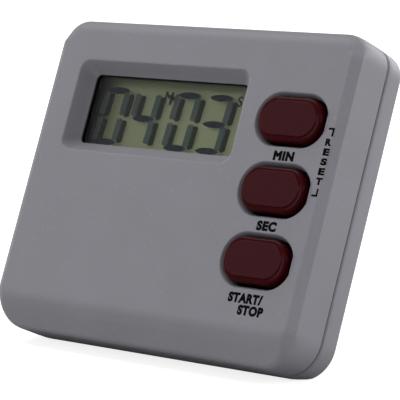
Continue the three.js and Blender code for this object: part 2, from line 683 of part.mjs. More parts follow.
function displayPieces() {
  const rearMargin = LCD.marginY - LEDGE;
  const windowRear = WINDOW.front - WINDOW.thickness;
  const rearGlass = { front: LCD_REAR - TOUCH, rear: LCD_REAR - TOUCH - LCD.glass };
  const reflector = { front: rearGlass.rear - TOUCH, rear: rearGlass.rear - TOUCH - 0.2 };
  return [
    piece('display_window',
      displayPane(WINDOW.margin, WINDOW.margin, windowRear, WINDOW.front), 0xe8eef0, 0.1),
    piece('display_frame', displayFrame(), BLACK, 0.6),
    piece('lcd_front_glass',
      displayPane(LCD.marginX, LCD.marginY, LCD_REAR, LCD.front), GLASS, 0.2),
    piece('lcd_rear_glass',
      displayPane(LCD.marginX, rearMargin, rearGlass.rear, rearGlass.front), GLASS, 0.2),
    piece('lcd_reflector',
      displayPane(LCD.marginX, rearMargin, reflector.rear, reflector.front), 0x8f9760, 0.5),
    piece('connector_strip_upper', connectorStrip(1), 0xd8c7b5, 0.7),
    piece('connector_strip_lower', connectorStrip(-1), 0xd8c7b5, 0.7),
  ];
}

function buttonPieces() {
  const names = ['minute', 'second', 'start_stop'];
  return buttonRows.flatMap((y, row) => [
    piece(`${names[row]}_button`, buttonCap(y), BURGUNDY, 0.4),
    piece(`${names[row]}_dome`, rubberDome(y), 0x9a9890, 0.8),
    piece(`${names[row]}_contact_pill`,
      rod(BUTTON_X, y, PILL.radius, PILL.rear, PILL.rear + PILL.thickness, 16), BLACK, 0.9),
  ]);
}

function boardPieces() {
  const face = BOARD_REAR - 0.1;
  const crystal = crossRod(8.5, face - 1, 1, 19.5, 25.5);
  const disc = REAR_INSIDE + 0.9;
  const { x, y, radius } = SOUNDER;
  return [
    piece('circuit_board', circuitBoard(), 0x2f5d3a, 0.5),
    piece('controller_resin_drop', resinDrop(), BLACK, 0.3),
    piece('quartz_crystal', crystal, STEEL, 0.25, 1),
    piece('timing_capacitor', slab(27, 29, 11.4, 12.6, face - 0.9, face), 0xa98a62, 0.5),
    piece('chip_resistor', slab(27, 30, 4.2, 5.8, face - 0.5, face), BLACK, 0.5),
    piece('sounder_disc', rod(x, y, radius, disc, disc + 0.25), BRASS, 0.3, 1),
    piece('sounder_ceramic', rod(x, y, 6, disc + 0.35, disc + 0.55), 0xe6e2d8, 0.6),
    piece('sounder_wire_left', soundWire(-1), 0x9c1f1f, 0.5),
    piece('sounder_wire_right', soundWire(1), BLACK, 0.5),
  ];
}

function cellPieces() {
  return [
    piece('button_cell', buttonCell(), STEEL, 0.25, 1),
    piece('cell_contact_negative', negativeContact(), STEEL, 0.3, 1),
    piece('cell_contact_positive', positiveContact(), STEEL, 0.3, 1),
    piece('cell_door', cellDoor(), CASE_GREY, 0.6),
  ];
}

function fastenerPieces() {
  const pinReach = STAND_RECESS.halfWidth + 1.4;
  const magnetRear = REAR + 0.1;
  return [
    piece('hinge_pin', crossRod(PIN.y, PIN.z, PIN.radius, -pinReach, pinReach), STEEL, 0.3, 1),
    ...['left', 'right'].map((side, index) => piece(`magnet_${side}`,
      rod((2 * index - 1) * MAGNET.x, MAGNET.y, MAGNET.radius, magnetRear, magnetRear + 1.35),
      0x3a3a3d, 0.5, 0.6)),
    ...CASE_SCREWS.map(([x, y], index) => piece(`case_screw_${index + 1}`,
      screw(x, y, 1.8, REAR + 0.2, 1.35, 0.95, -4.6), STEEL, 0.3, 1)),
    ...BOARD_SCREWS.map(([x, y], index) => piece(`board_screw_${index + 1}`,
      screw(x, y, 1.5, BOARD_REAR - 0.95, 0.8, 0.7, -5.5), STEEL, 0.3, 1)),
  ];
}

function buildTimer() {
  const timer = new THREE.Group();
  timer.add(
    piece('front_casing', frontCasing(), CASE_GREY, 0.6),
    piece('rear_casing', rearCasing(), CASE_GREY, 0.6),
    ...displayPieces(), ...buttonPieces(), ...boardPieces(), ...cellPieces(), ...fastenerPieces(),
    openStand());
  timer.rotation.x = Math.PI / 2 - LEAN;
  return timer;
}

// The origin is on the table, in the middle of the timer's footprint.
const labTimer = new THREE.Group();
const timer = buildTimer();
labTimer.add(timer);
const extent = new THREE.Box3().setFromObject(labTimer, true);
timer.position.set(0, -(extent.min.y + extent.max.y) / 2, -extent.min.z);

export default labTimer;
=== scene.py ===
"""Lab timer: the looks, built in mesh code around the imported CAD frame.

Shapes are drawn in the timer's own frame, in millimetres: x to the right, y up the face and z out of
the face, with z = 0 on the face. PLACE takes them to the frame's metres. A depth is a distance
behind the face.
"""
import json
import math

import bmesh
import bpy
from mathutils import Matrix, Vector
from mathutils.geometry import delaunay_2d_cdt


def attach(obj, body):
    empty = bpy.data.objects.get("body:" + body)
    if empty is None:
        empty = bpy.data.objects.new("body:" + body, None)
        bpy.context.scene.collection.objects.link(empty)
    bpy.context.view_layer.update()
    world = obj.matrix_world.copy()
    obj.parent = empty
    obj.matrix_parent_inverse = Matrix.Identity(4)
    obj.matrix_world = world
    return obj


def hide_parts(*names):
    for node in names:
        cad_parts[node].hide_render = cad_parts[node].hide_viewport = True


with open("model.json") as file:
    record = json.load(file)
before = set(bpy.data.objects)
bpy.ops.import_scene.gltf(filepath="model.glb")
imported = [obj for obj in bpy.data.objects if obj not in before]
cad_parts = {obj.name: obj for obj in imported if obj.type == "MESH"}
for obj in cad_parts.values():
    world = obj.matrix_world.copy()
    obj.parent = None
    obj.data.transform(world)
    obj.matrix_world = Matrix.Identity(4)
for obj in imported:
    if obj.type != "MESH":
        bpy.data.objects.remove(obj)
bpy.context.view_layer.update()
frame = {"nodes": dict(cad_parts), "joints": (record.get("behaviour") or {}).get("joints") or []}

# ---- the timer's own frame ----------------------------------------------------------------------

MM = 0.001
PIN_Y = 9.0  # the stand's pin runs across the back at this height, and this deep
PIN_DEPTH = 12.6
JOINTS = {joint["name"]: joint for joint in frame["joints"]}
INWARD = Vector(JOINTS["minute_press"]["axis"])
RIGHT = Vector((1, 0, 0))
UP_FACE = RIGHT.cross(INWARD)
TURN = Matrix((RIGHT, UP_FACE, -INWARD)).transposed()
ORIGIN = Vector(JOINTS["stand_fold"]["pos_m"]) - TURN @ Vector((0, PIN_Y, -PIN_DEPTH)) * MM
PLACE = Matrix.Translation(ORIGIN) @ TURN.to_4x4() @ Matrix.Scale(MM, 4)


def own_box(node):
    """The lowest and highest corners of a CAD node in the timer's own frame."""
    inverse = PLACE.inverted()
    points = [inverse @ vertex.co for vertex in frame["nodes"][node].data.vertices]
    low = Vector([min(point[axis] for point in points) for axis in range(3)])
    high = Vector([max(point[axis] for point in points) for axis in range(3)])
    return low, high


def own_centre(node):
    low, high = own_box(node)
    return (low + high) / 2


# ---- sizes --------------------------------------------------------------------------------------

CASE_LOW, CASE_HIGH = own_box("front_casing")
HALF_WIDTH = CASE_HIGH.x
HALF_HEIGHT = CASE_HIGH.y
SEAM = -CASE_LOW.z
BACK = -own_box("rear_casing")[0].z
WALL = 1.7
FACE_WALL = WALL + 0.3  # the face is a little thicker than the side walls
SEAM_GAP = 0.52
LIP_INSET = 1.9  # the rear casing's lip, inside the front casing's wall
LIP_WALL = 1.0
LIP_HEIGHT = 1.2
REAR_FLOOR = 1.5  # how far the rear casing's inner floor lies in front of INSIDE_DEPTH
TOP_CORNER = 4.8
BOTTOM_CORNER = 6.6
CHAMFER_WIDTH = 1.65
CHAMFER_DEPTH = 1.2
TOP_ROUND = 3.2
BOTTOM_ROUND = 0.6
BAND_START = 24.2  # how far below the middle the sloping band starts
BAND_SLOPE = 0.38
BAND_CURVE = 0.022  # how fast the band steepens on the way down
BAND_SOFTNESS = 0.35
INSIDE_DEPTH = BACK - WALL

WINDOW_MARGIN = 1.6
WELL_DEPTH = 3.0
WELL_SLOPE = 2.1
WELL_SHIFT = (0.06, -0.05)  # how far the well's rim is set over, for each millimetre of slope
WELL_CORNER = 1.0

FLANGE = 0.8  # the caps' hidden flange
CAP_LOW, CAP_HIGH = own_box("minute_button")
CAP_HALF = tuple(((CAP_HIGH - CAP_LOW) / 2 - Vector((FLANGE, FLANGE, 0))).xy)
CAP_RISE = CAP_HIGH.z
CAP_CORNER = 3.9
GUIDE_DEPTH = 3.2
BUTTON_NAMES = ("minute", "second", "start_stop")


# ---- mesh building ------------------------------------------------------------------------------

def chaikin(points, rounds=2):
    """Points of an open path with its corners cut, as a smooth curve through the same stretch."""
    for _ in range(rounds):
        cut = [points[0]]
        for a, b in zip(points, points[1:]):
            cut.append(tuple(0.75 * p + 0.25 * q for p, q in zip(a, b)))
            cut.append(tuple(0.25 * p + 0.75 * q for p, q in zip(a, b)))
        points = cut + [points[-1]]
    return points


def soft_max(a, b, softness):
    """The greater of a and b, rounded where they cross."""
    blend = max(softness - abs(a - b), 0) / softness
    return max(a, b) + blend * blend * softness / 4


def rounded_rectangle(half_width, half_height, corner, centre=(0, 0), steps=12):
    """Points of a rounded rectangle, anticlockwise from its lower right corner."""
    points = []
    for quarter, (sign_x, sign_y) in enumerate([(1, -1), (1, 1), (-1, 1), (-1, -1)]):
        for step in range(steps + 1):
            angle = (quarter - 1 + step / steps) * math.pi / 2
            x = sign_x * (half_width - corner) + corner * math.cos(angle)
            y = sign_y * (half_height - corner) + corner * math.sin(angle)
            points.append((centre[0] + x, centre[1] + y))
    return points


def circle(radius, centre=(0, 0), steps=48):
    angles = [2 * math.pi * step / steps for step in range(steps)]
    return [(centre[0] + radius * math.cos(a), centre[1] + radius * math.sin(a)) for a in angles]


def inside(point, loop):
    """Whether a point lies inside a closed loop of points."""
    found = False
    for (ax, ay), (bx, by) in zip(loop, loop[1:] + loop[:1]):
        if (ay > point[1]) != (by > point[1]):
            if point[0] < ax + (point[1] - ay) * (bx - ax) / (by - ay):
                found = not found
    return found


class Skin:
    """A mesh gathered ring by ring, then welded into one object."""

    def __init__(self):
        self.mesh = bmesh.new()

    def ring(self, points):
        return [self.mesh.verts.new(point) for point in points]

    def strip(self, first, second):
        """A band of faces between two rings."""
        for index in range(len(first)):
            after = (index + 1) % len(first)
            self.mesh.faces.new((first[index], first[after], second[after], second[index]))

    def loft(self, rings):
        """Bands of faces from each ring to the next."""
        made = [self.ring(points) for points in rings]
        for first, second in zip(made, made[1:]):
            self.strip(first, second)
        return made

    def cap(self, ring):
        self.mesh.faces.new(ring)

    def turned(self, profile, centre, steps=48):
        """A closed solid from (radius, z) points that start and end on the axis."""
        inner = profile[1:-1]
        made = self.loft([[(x, y, z) for x, y in circle(r, centre, steps)] for r, z in inner])
        for ring, z in ((made[0], profile[0][1]), (made[-1], profile[-1][1])):
            hub = self.mesh.verts.new((centre[0], centre[1], z))
            for index in range(steps):
                self.mesh.faces.new((ring[index], ring[(index + 1) % steps], hub))

    def sheet(self, outer, holes, height, extra=()):
        """A sheet between an outer loop and its holes, at height(x, y)."""
        points = []
        edges = []
        for loop in [outer] + holes:
            start = len(points)
            points += loop
            count = len(loop)
            edges += [(start + i, start + (i + 1) % count) for i in range(count)]
        points += [p for p in extra if inside(p, outer) and not any(inside(p, h) for h in holes)]
        plane = [Vector(point) for point in points]
        made, _, faces, *_ = delaunay_2d_cdt(plane, edges, [], 0, 1e-5)
        verts = [self.mesh.verts.new((p.x, p.y, height(p.x, p.y))) for p in made]
        for face in faces:
            middle = sum((made[i] for i in face), Vector((0, 0))) / len(face)
            if inside(middle, outer) and not any(inside(middle, hole) for hole in holes):
                self.mesh.faces.new([verts[i] for i in face])

    def finish(self, name, material, body, stands_for=(), turn=None):
        """Makes the mesh an object that rides on a body, in place of the CAD nodes it stands for."""
        weld = 1e-4
        sharp = math.radians(40)
        bmesh.ops.remove_doubles(self.mesh, verts=self.mesh.verts, dist=weld)
        bmesh.ops.dissolve_degenerate(self.mesh, dist=weld, edges=self.mesh.edges)
        loose = [vert for vert in self.mesh.verts if not vert.link_faces]
        bmesh.ops.delete(self.mesh, geom=loose, context="VERTS")
        bmesh.ops.recalc_face_normals(self.mesh, faces=self.mesh.faces)
        for face in self.mesh.faces:
            face.smooth = True
        for edge in self.mesh.edges:
            if len(edge.link_faces) == 2:
                edge.smooth = edge.calc_face_angle() < sharp
        data = bpy.data.meshes.new(name)
        self.mesh.to_mesh(data)
        self.mesh.free()
        data.transform(PLACE @ turn if turn else PLACE)
        for vertex in data.vertices:
            vertex.co.z = max(vertex.co.z, 0)  # what reaches the table is flat on it
        data.materials.append(material)
        piece = bpy.data.objects.new(name, data)
        bpy.context.scene.collection.objects.link(piece)
        normals = piece.modifiers.new("weighted_normals", "WEIGHTED_NORMAL")
        normals.keep_sharp = True
        settle(piece, body, stands_for)


def settle(piece, body, stands_for=()):
    """Puts a piece on its body, and hides the CAD nodes it stands for."""
    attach(piece, body)
    if stands_for:
        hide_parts(*stands_for)


# ---- materials ----------------------------------------------------------------------------------

class Nodes:
    """A short way to write a node tree."""

    def __init__(self, name):
        self.material = bpy.data.materials.new(name)
        self.material.use_nodes = True
        self.tree = self.material.node_tree
        self.shader = self.tree.nodes["Principled BSDF"]

    def add(self, kind, **inputs):
        node = self.tree.nodes.new(kind)
        for key, value in inputs.items():
            name = key.replace("_", " ")
            self.join(value, node.inputs[name if name in node.inputs else key])
        return node

    def join(self, value, socket):
        if isinstance(value, bpy.types.NodeSocket):
            self.tree.links.new(value, socket)
        else:
            socket.default_value = value

    def set(self, **inputs):
        for key, value in inputs.items():
            self.join(value, self.shader.inputs[key.replace("_", " ")])

    def place(self):
        """Where a point of the surface lies, in the frame's metres."""
        return self.add("ShaderNodeTexCoord").outputs["Object"]

    def noise(self, scale, detail=2.0, roughness=0.5):
        node = self.add("ShaderNodeTexNoise", Vector=self.place(), Scale=scale, Detail=detail)
        node.inputs["Roughness"].default_value = roughness
        return node.outputs["Fac"]

    def spread(self, value, low, high, start=0.3, end=0.7):
        """value taken from start..end to low..high."""
        node = self.add("ShaderNodeMapRange", Value=value)
        for key, number in (("From Min", start), ("From Max", end), ("To Min", low), ("To Max", high)):
            node.inputs[key].default_value = number
        return node.outputs["Result"]

    def math(self, operation, first, second=0.0):
        node = self.tree.nodes.new("ShaderNodeMath")
        node.operation = operation
        self.join(first, node.inputs[0])
        self.join(second, node.inputs[1])
        return node.outputs["Value"]

    def vector_math(self, operation, *values):
        node = self.tree.nodes.new("ShaderNodeVectorMath")
        node.operation = operation
        for value, socket in zip(values, node.inputs):
            self.join(value, socket)
        return node

    def tinted(self, color, factor):
        """color times a grey factor."""
        node = self.vector_math("SCALE", color)
        self.join(factor, node.inputs["Scale"])
        return node.outputs["Vector"]

    def height(self):
        """How far a point stands out of the face, in millimetres."""
        along = self.vector_math("DOT_PRODUCT", self.place(), -INWARD / MM)
        return self.math("ADD", along.outputs["Value"], ORIGIN.dot(INWARD) / MM)

    def edge(self, radius):
        """How sharply the surface turns within a radius: nothing on a flat, more at an edge."""
        rounded = self.tree.nodes.new("ShaderNodeBevel")
        rounded.samples = 4
        rounded.inputs["Radius"].default_value = radius
        true_normal = self.add("ShaderNodeNewGeometry").outputs["Normal"]
        across = self.vector_math("DOT_PRODUCT", rounded.outputs["Normal"], true_normal)
        return self.math("SUBTRACT", 1.0, across.outputs["Value"])

    def bump(self, height, distance):
        node = self.add("ShaderNodeBump", Height=height, Strength=1.0, Distance=distance)
        return node.outputs["Normal"]

    def show_mix(self, share, first, second):
        """Shows two shaders mixed, with the given share of the second."""
        mix = self.add("ShaderNodeMixShader", Fac=share)
        self.join(first.outputs["BSDF"], mix.inputs[1])
        self.join(second.outputs["BSDF"], mix.inputs[2])
        self.join(mix.outputs["Shader"], self.tree.nodes["Material Output"].inputs["Surface"])


FLOW_MARKS = 9 * MM  # size of the faint marks that the plastic's flow leaves
SPECKS = 0.6 * MM  # size of the pale specks
WEAR_REACH = 0.35 * MM
EDGE_WEAR = 0.1  # how much paler a worn edge is
EDGE_TURN = (0.02, 0.12)  # the stretch of edge sharpness over which the wear comes in
PLATEAU_RED = (0.044, 0.0045, 0.0075)
# painted shade: the caps' walls take this darker red, which stands in for the shade on them
WALL_RED_WITH_PAINTED_SHADE = (0.039, 0.0003, 0.0016)
CAP_WEAR_REACH = 0.2 * MM
# partly wear and partly painted highlight: how much paler the caps' edges are made
CAP_EDGE_WEAR_AND_HIGHLIGHT = 0.6
PLATEAU_FADE = (0.16, 0.04)  # below the plateau, the stretch where polish gives way to frosting and the walls' darker red with its painted shade gives way to the plateau's red


def plastic(name, color, roughness, grain=0.25, depth=0.012, speckle=0.05, specular=0.5):
    """Moulded plastic: a fine spark-eroded grain, faint flow marks, and edges worn a little paler."""
    nodes = Nodes(name)
    fine = nodes.noise(1 / (grain * MM), 3.0, 0.6)
    broad = nodes.noise(1 / FLOW_MARKS, 2.0)
    worn = nodes.spread(nodes.edge(WEAR_REACH), 0.0, EDGE_WEAR, *EDGE_TURN)
    specks = nodes.spread(nodes.noise(1 / SPECKS, 1.0), 0.0, 0.2, 0.68, 0.78)
    shade = nodes.math("ADD", nodes.spread(fine, 1 - speckle, 1 + speckle), worn)
    shade = nodes.math("ADD", shade, specks)
    shade = nodes.math("MULTIPLY", shade, nodes.spread(broad, 0.97, 1.03))
    rough = nodes.math("ADD", nodes.spread(broad, -0.04, 0.04), nodes.spread(fine, -0.05, 0.05))
    nodes.set(
        Base_Color=nodes.tinted(color, shade), Roughness=nodes.math("ADD", rough, roughness),
        Specular_IOR_Level=specular, Normal=nodes.bump(fine, depth * MM))
    return nodes.material


def button_plastic(name):
    """Deep red plastic: polished on the walls, frosted and paler on the plateau; the walls' darker red
    is painted shade.
    """
    nodes = Nodes(name)
    fine = nodes.noise(1 / (0.15 * MM), 3.0)
    broad = nodes.noise(1 / (3 * MM), 2.0)
    top = nodes.spread(nodes.height(), 0.0, 1.0, *(CAP_RISE - below for below in PLATEAU_FADE))
    # the caps' paler edges: partly wear, partly painted highlight
    worn = nodes.spread(nodes.edge(CAP_WEAR_REACH), 0.0, CAP_EDGE_WEAR_AND_HIGHLIGHT, *EDGE_TURN)
    frosted = nodes.tinted(PLATEAU_RED, nodes.spread(fine, 0.94, 1.06))
    # painted shade: the walls take the darker red
    polished = nodes.tinted(WALL_RED_WITH_PAINTED_SHADE, nodes.math("ADD", nodes.spread(broad, 0.9, 1.1), worn))
    color = nodes.tree.nodes.new("ShaderNodeMix")
    color.data_type = "VECTOR"
    nodes.join(top, color.inputs["Factor"])
    nodes.join(polished, color.inputs[4])
    nodes.join(frosted, color.inputs[5])
    nodes.set(
        Base_Color=color.outputs[1], Roughness=nodes.spread(top, 0.3, 0.45, 0, 1),
        Specular_IOR_Level=nodes.spread(top, 0.03, 0.08, 0, 1), Normal=nodes.bump(fine, 0.004 * MM),
        Coat_Weight=nodes.spread(top, 0.1, 0.0, 0, 1), Coat_Roughness=0.12)
    return nodes.material


def metal(name, color, roughness, grain=0.08):
    """Plated or rolled metal with a fine uneven surface."""
    nodes = Nodes(name)
    fine = nodes.noise(1 / (grain * MM), 4.0)
    broad = nodes.noise(1 / (2 * MM), 3.0)
    rough = nodes.math("ADD", nodes.spread(fine, -0.06, 0.06), nodes.spread(broad, 0.9, 1.2))
    nodes.set(
        Base_Color=nodes.tinted(color, nodes.spread(broad, 0.9, 1.05)), Metallic=1.0,
        Roughness=nodes.math("MULTIPLY", rough, roughness), Normal=nodes.bump(fine, 0.003 * MM))
    return nodes.material


def clear(name, tint, roughness, index):
    """Glass or clear plastic that lets the light for what lies behind it straight through."""
    nodes = Nodes(name)
    smear = nodes.noise(1 / (6 * MM), 3.0)
    nodes.set(
        Base_Color=(*tint, 1), Transmission_Weight=1.0, IOR=index,
        Roughness=nodes.spread(smear, roughness, roughness + 0.02))
    straight = nodes.add("ShaderNodeBsdfTransparent", Color=(*tint, 1))
    path = nodes.add("ShaderNodeLightPath")
    seen = nodes.math("MAXIMUM", path.outputs["Is Shadow Ray"], path.outputs["Is Diffuse Ray"])
    nodes.show_mix(seen, nodes.shader, straight)
    return nodes.material


def display_ink(name, color, cover):
    """A dark film that hides most of what lies behind it; also used for plates of painted shadow. It
    throws no shadow of its own.
    """
    nodes = Nodes(name)
    uneven = nodes.noise(1 / (1.5 * MM), 2.0)
    nodes.set(Base_Color=nodes.tinted(color, nodes.spread(uneven, 0.9, 1.1)), Roughness=0.6)
    nodes.set(Specular_IOR_Level=0.0)
    through = nodes.add("ShaderNodeBsdfTransparent")
    path = nodes.add("ShaderNodeLightPath")
    lit = nodes.math("SUBTRACT", 1.0, path.outputs["Is Shadow Ray"])
    nodes.show_mix(nodes.math("MULTIPLY", lit, cover), through, nodes.shader)
    return nodes.material


FOIL_PAINTED_SHADE_REACH = (0.6, 6.0)  # the stretch from the foil's left end over which its painted shade fades out
FOIL_SHADED_LEFT_SHARE = 0.18  # how bright the left end is under its painted shade, as a share of the rest


def reflector_foil(name, color, roughness):
    """The silky foil behind the display: part mirror, part matte, with painted shade darkening its left
    end.
    """
    nodes = Nodes(name)
    fine = nodes.noise(1 / (0.15 * MM), 3.0)
    separate = nodes.add("ShaderNodeSeparateXYZ", Vector=nodes.place())
    left = own_box("lcd_reflector")[0].x
    span = [(left + reach) * MM for reach in FOIL_PAINTED_SHADE_REACH]
    # painted shade: the frame's wall shades the foil's left end
    painted_shade = nodes.spread(separate.outputs["X"], FOIL_SHADED_LEFT_SHARE, 1.0, *span)
    shade = nodes.math("MULTIPLY", nodes.spread(fine, 0.95, 1.05), painted_shade)
    nodes.set(
        Base_Color=nodes.tinted(color, shade), Metallic=0.55,
        Roughness=nodes.spread(fine, roughness - 0.03, roughness + 0.03),
        Normal=nodes.bump(fine, 0.002 * MM))
    return nodes.material


CASE = plastic("case_plastic", (0.232, 0.228, 0.256), 0.55)
REAR_CASE = plastic("rear_case_plastic", (0.238, 0.234, 0.262), 0.55)
STAND = plastic("stand_plastic", (0.222, 0.218, 0.246), 0.5)
DOOR = plastic("door_plastic", (0.222, 0.218, 0.246), 0.5)
BUTTON = button_plastic("button_plastic")
BLACK = plastic("black_plastic", (0.006, 0.006, 0.007), 0.55, specular=0.3)
INK = plastic("legend_ink", (0.003, 0.003, 0.004), 0.6, 0.1, 0.002, specular=0.02)
WINDOW = clear("window_plastic", (0.97, 0.98, 0.97), 0.02, 1.35)
GLASS = clear("display_glass", (0.96, 0.98, 0.93), 0.01, 1.12)
PALE_SEGMENT = display_ink("display_upright_film", (0.06, 0.08, 0.09), 0.8)
# darker than the upright film: the level segments' own shadow on the foil lies right under them and is
# painted into this ink
DARK_SEGMENT_WITH_PAINTED_SHADOW = display_ink("display_level_film_with_painted_shadow", (0.011, 0.018, 0.031), 0.94)
# painted shadow: dark plates on the foil where the segments' shadows fall
PAINTED_SEGMENT_SHADOW = display_ink("display_painted_shadow_film", (0.02, 0.022, 0.016), 0.72)
REFLECTOR = reflector_foil("display_reflector", (0.27, 0.272, 0.205), 0.32)
RUBBER = plastic("dome_rubber", (0.45, 0.44, 0.4), 0.75)
STRIP_RUBBER = plastic("connector_rubber", (0.72, 0.6, 0.52), 0.7)
CARBON = plastic("contact_carbon", (0.02, 0.02, 0.02), 0.8)
BOARD = plastic("board_resist", (0.02, 0.11, 0.04), 0.35, speckle=0.12)
RESIN = plastic("chip_resin", (0.01, 0.01, 0.012), 0.25, grain=1.5)
CERAMIC = plastic("sounder_ceramic_white", (0.8, 0.77, 0.7), 0.6)
COMPONENT_TAN = plastic("capacitor_ceramic", (0.42, 0.28, 0.15), 0.5)
COMPONENT_BLACK = plastic("resistor_glaze", (0.03, 0.03, 0.03), 0.4)
WIRE_RED = plastic("wire_red", (0.45, 0.02, 0.02), 0.45)
WIRE_BLACK = plastic("wire_black", (0.015, 0.015, 0.015), 0.45)
STEEL = metal("plated_steel", (0.62, 0.62, 0.64), 0.28)
BRASS = metal("sounder_brass", (0.78, 0.56, 0.26), 0.3)
MAGNET = metal("magnet_plating", (0.09, 0.09, 0.1), 0.42)

CARRIED = {
    "lcd_front_glass": GLASS, "lcd_rear_glass": GLASS, "lcd_reflector": REFLECTOR,
    "display_frame": BLACK, "display_window": WINDOW,
    "connector_strip_upper": STRIP_RUBBER, "connector_strip_lower": STRIP_RUBBER,
    "circuit_board": BOARD, "controller_resin_drop": RESIN, "quartz_crystal": STEEL,
    "timing_capacitor": COMPONENT_TAN, "chip_resistor": COMPONENT_BLACK,
    "sounder_disc": BRASS, "sounder_ceramic": CERAMIC,
    "sounder_wire_left": WIRE_RED, "sounder_wire_right": WIRE_BLACK,
    "button_cell": STEEL, "cell_contact_negative": STEEL, "cell_contact_positive": STEEL,
    "hinge_pin": STEEL, "board_screw_1": STEEL, "board_screw_2": STEEL,
}
for name in BUTTON_NAMES:
    CARRIED[f"{name}_dome"] = RUBBER
    CARRIED[f"{name}_contact_pill"] = CARBON


def dress_carried_nodes():
    for node, material in CARRIED.items():
        data = frame["nodes"][node].data
        data.materials.clear()
        data.materials.append(material)


# ---- casing outline -----------------------------------------------------------------------------

CORNER_STEPS = 16
SIDE_STEPS = 60
END_STEPS = 56


def casing_stations():
    """Stations round the casing's outline: (x, y, outward x, outward y)."""
    stations = []

    def straight(start, end, normal, steps):
        for step in range(1, steps):
            t = step / steps
            x = start[0] + t * (end[0] - start[0])
            y = start[1] + t * (end[1] - start[1])
            stations.append((x, y, *normal))

    def corner(sign_x, sign_y, radius, first):
        for step in range(CORNER_STEPS + 1):
            angle = first + step / CORNER_STEPS * math.pi / 2
            c, s = math.cos(angle), math.sin(angle)
            x = sign_x * (HALF_WIDTH - radius) + radius * c
            y = sign_y * (HALF_HEIGHT - radius) + radius * s
            stations.append((x, y, c, s))

    low, high = BOTTOM_CORNER - HALF_HEIGHT, HALF_HEIGHT - TOP_CORNER
    foot, crown = HALF_WIDTH - BOTTOM_CORNER, HALF_WIDTH - TOP_CORNER
    corner(1, -1, BOTTOM_CORNER, -math.pi / 2)
    straight((HALF_WIDTH, low), (HALF_WIDTH, high), (1, 0), SIDE_STEPS)
    corner(1, 1, TOP_CORNER, 0)
    straight((crown, HALF_HEIGHT), (-crown, HALF_HEIGHT), (0, 1), END_STEPS)
    corner(-1, 1, TOP_CORNER, math.pi / 2)
    straight((-HALF_WIDTH, high), (-HALF_WIDTH, low), (-1, 0), SIDE_STEPS)
    corner(-1, -1, BOTTOM_CORNER, math.pi)
    straight((-foot, -HALF_HEIGHT), (foot, -HALF_HEIGHT), (0, -1), END_STEPS)
    return stations


STATIONS = casing_stations()


def band_depth(y):
    """How far the sloping band has fallen behind the face at this height."""
    below = -BAND_START - y
    return soft_max(0, below * (BAND_SLOPE + BAND_CURVE * max(below, 0)), BAND_SOFTNESS)


def face_height(x, y):
    """Height of the front face, which is the same all along x."""
    return -band_depth(y)


def casing_ring(inset, depth):
    """The casing's outline moved in, at one depth."""
    return [(x - inset * nx, y - inset * ny, -depth) for x, y, nx, ny in STATIONS]


EDGE_REACH = 3.6  # how far in from the outline the edge rounding reaches
CREASE = 0.3  # half width of the softened creases beside the chamfer
CHAMFER_INSETS = (EDGE_REACH, 2.8, 2.2, CHAMFER_WIDTH + CREASE, CHAMFER_WIDTH, CHAMFER_WIDTH - CREASE,
                  1.0, 2 * CREASE, CREASE) + 5 * (0,)  # how far in each point of the section lies
WALL_STEPS = 10 * (0,) + (CREASE, 0.8, 1.6, 3.0)  # how far down the side wall it lies
ROUND_POINTS = 11  # points of the section that carry the rounding
CHAMFER_FADE = 0.4  # how far round a corner the chamfer gives way to a rounding


def chamfer_depth(inset):
    """How deep the side chamfer is, this far in from the outline."""
    return CHAMFER_DEPTH * max(1 - inset / CHAMFER_WIDTH, 0)


def round_depth(inset, radius):
    """How deep a round edge is, this far in from the outline."""
    rise = max(radius - inset, 0)
    return radius - math.sqrt(radius ** 2 - rise ** 2)


def edge_path(x, y, nx, ny):
    """The front edge's section at one station, from the face to the side wall."""
    radius = TOP_ROUND if ny > 0 else TOP_ROUND + (BOTTOM_ROUND - TOP_ROUND) * abs(ny)
    round_share = min(abs(ny) / CHAMFER_FADE, 1)
    shares = [min(point / ROUND_POINTS, 1) for point in range(len(CHAMFER_INSETS))]
    turns = [math.radians(90 * share) for share in shares]
    round_insets = [EDGE_REACH] + [radius * (1 - math.sin(turn)) for turn in turns[:-1]]
    path = []
    for side, wall, rounded in zip(CHAMFER_INSETS, WALL_STEPS, round_insets):
        inset = side * (1 - round_share) + rounded * round_share
        own = chamfer_depth(side) * (1 - round_share) + round_depth(rounded, radius) * round_share
        spot = (x - inset * nx, y - inset * ny)
        path.append((*spot, -own - band_depth(spot[1]) - wall))
    return chaikin(path)


# ---- front casing -------------------------------------------------------------------------------

WINDOW_LOW, WINDOW_HIGH = own_box("display_window")
WELL_CENTRE = tuple(((WINDOW_LOW + WINDOW_HIGH) / 2).xy)
WELL_HALF = tuple(((WINDOW_HIGH - WINDOW_LOW) / 2 - Vector((WINDOW_MARGIN, WINDOW_MARGIN, 0))).xy)

BUTTON_CENTRES = {name: tuple(own_centre(f"{name}_button").xy) for name in BUTTON_NAMES}

SEAM_ROUND = 0.12  # rounding of the front casing at the seam
INNER_EDGE = 2 * WALL + 1  # depth at which the side wall's inside turns to the face's inside
WELL_LIP = 0.4  # how far the well runs on behind its depth
WELL_FOOT = 1.3  # thickness of the well's wall there
WELL_WALL = 1.2  # and at the face
GUIDE_WALL = 1.3


def well_ring(outset, depth):
    centre = [middle + shift * outset for middle, shift in zip(WELL_CENTRE, WELL_SHIFT)]
    loop = rounded_rectangle(
        WELL_HALF[0] + outset, WELL_HALF[1] + outset, WELL_CORNER + 0.5 * outset, centre)
    return [(x, y, -depth) for x, y in loop]


def button_ring(name, outset, depth):
    loop = rounded_rectangle(
        CAP_HALF[0] + outset, CAP_HALF[1] + outset, CAP_CORNER + outset, BUTTON_CENTRES[name])
    return [(x, y, -depth) for x, y in loop]


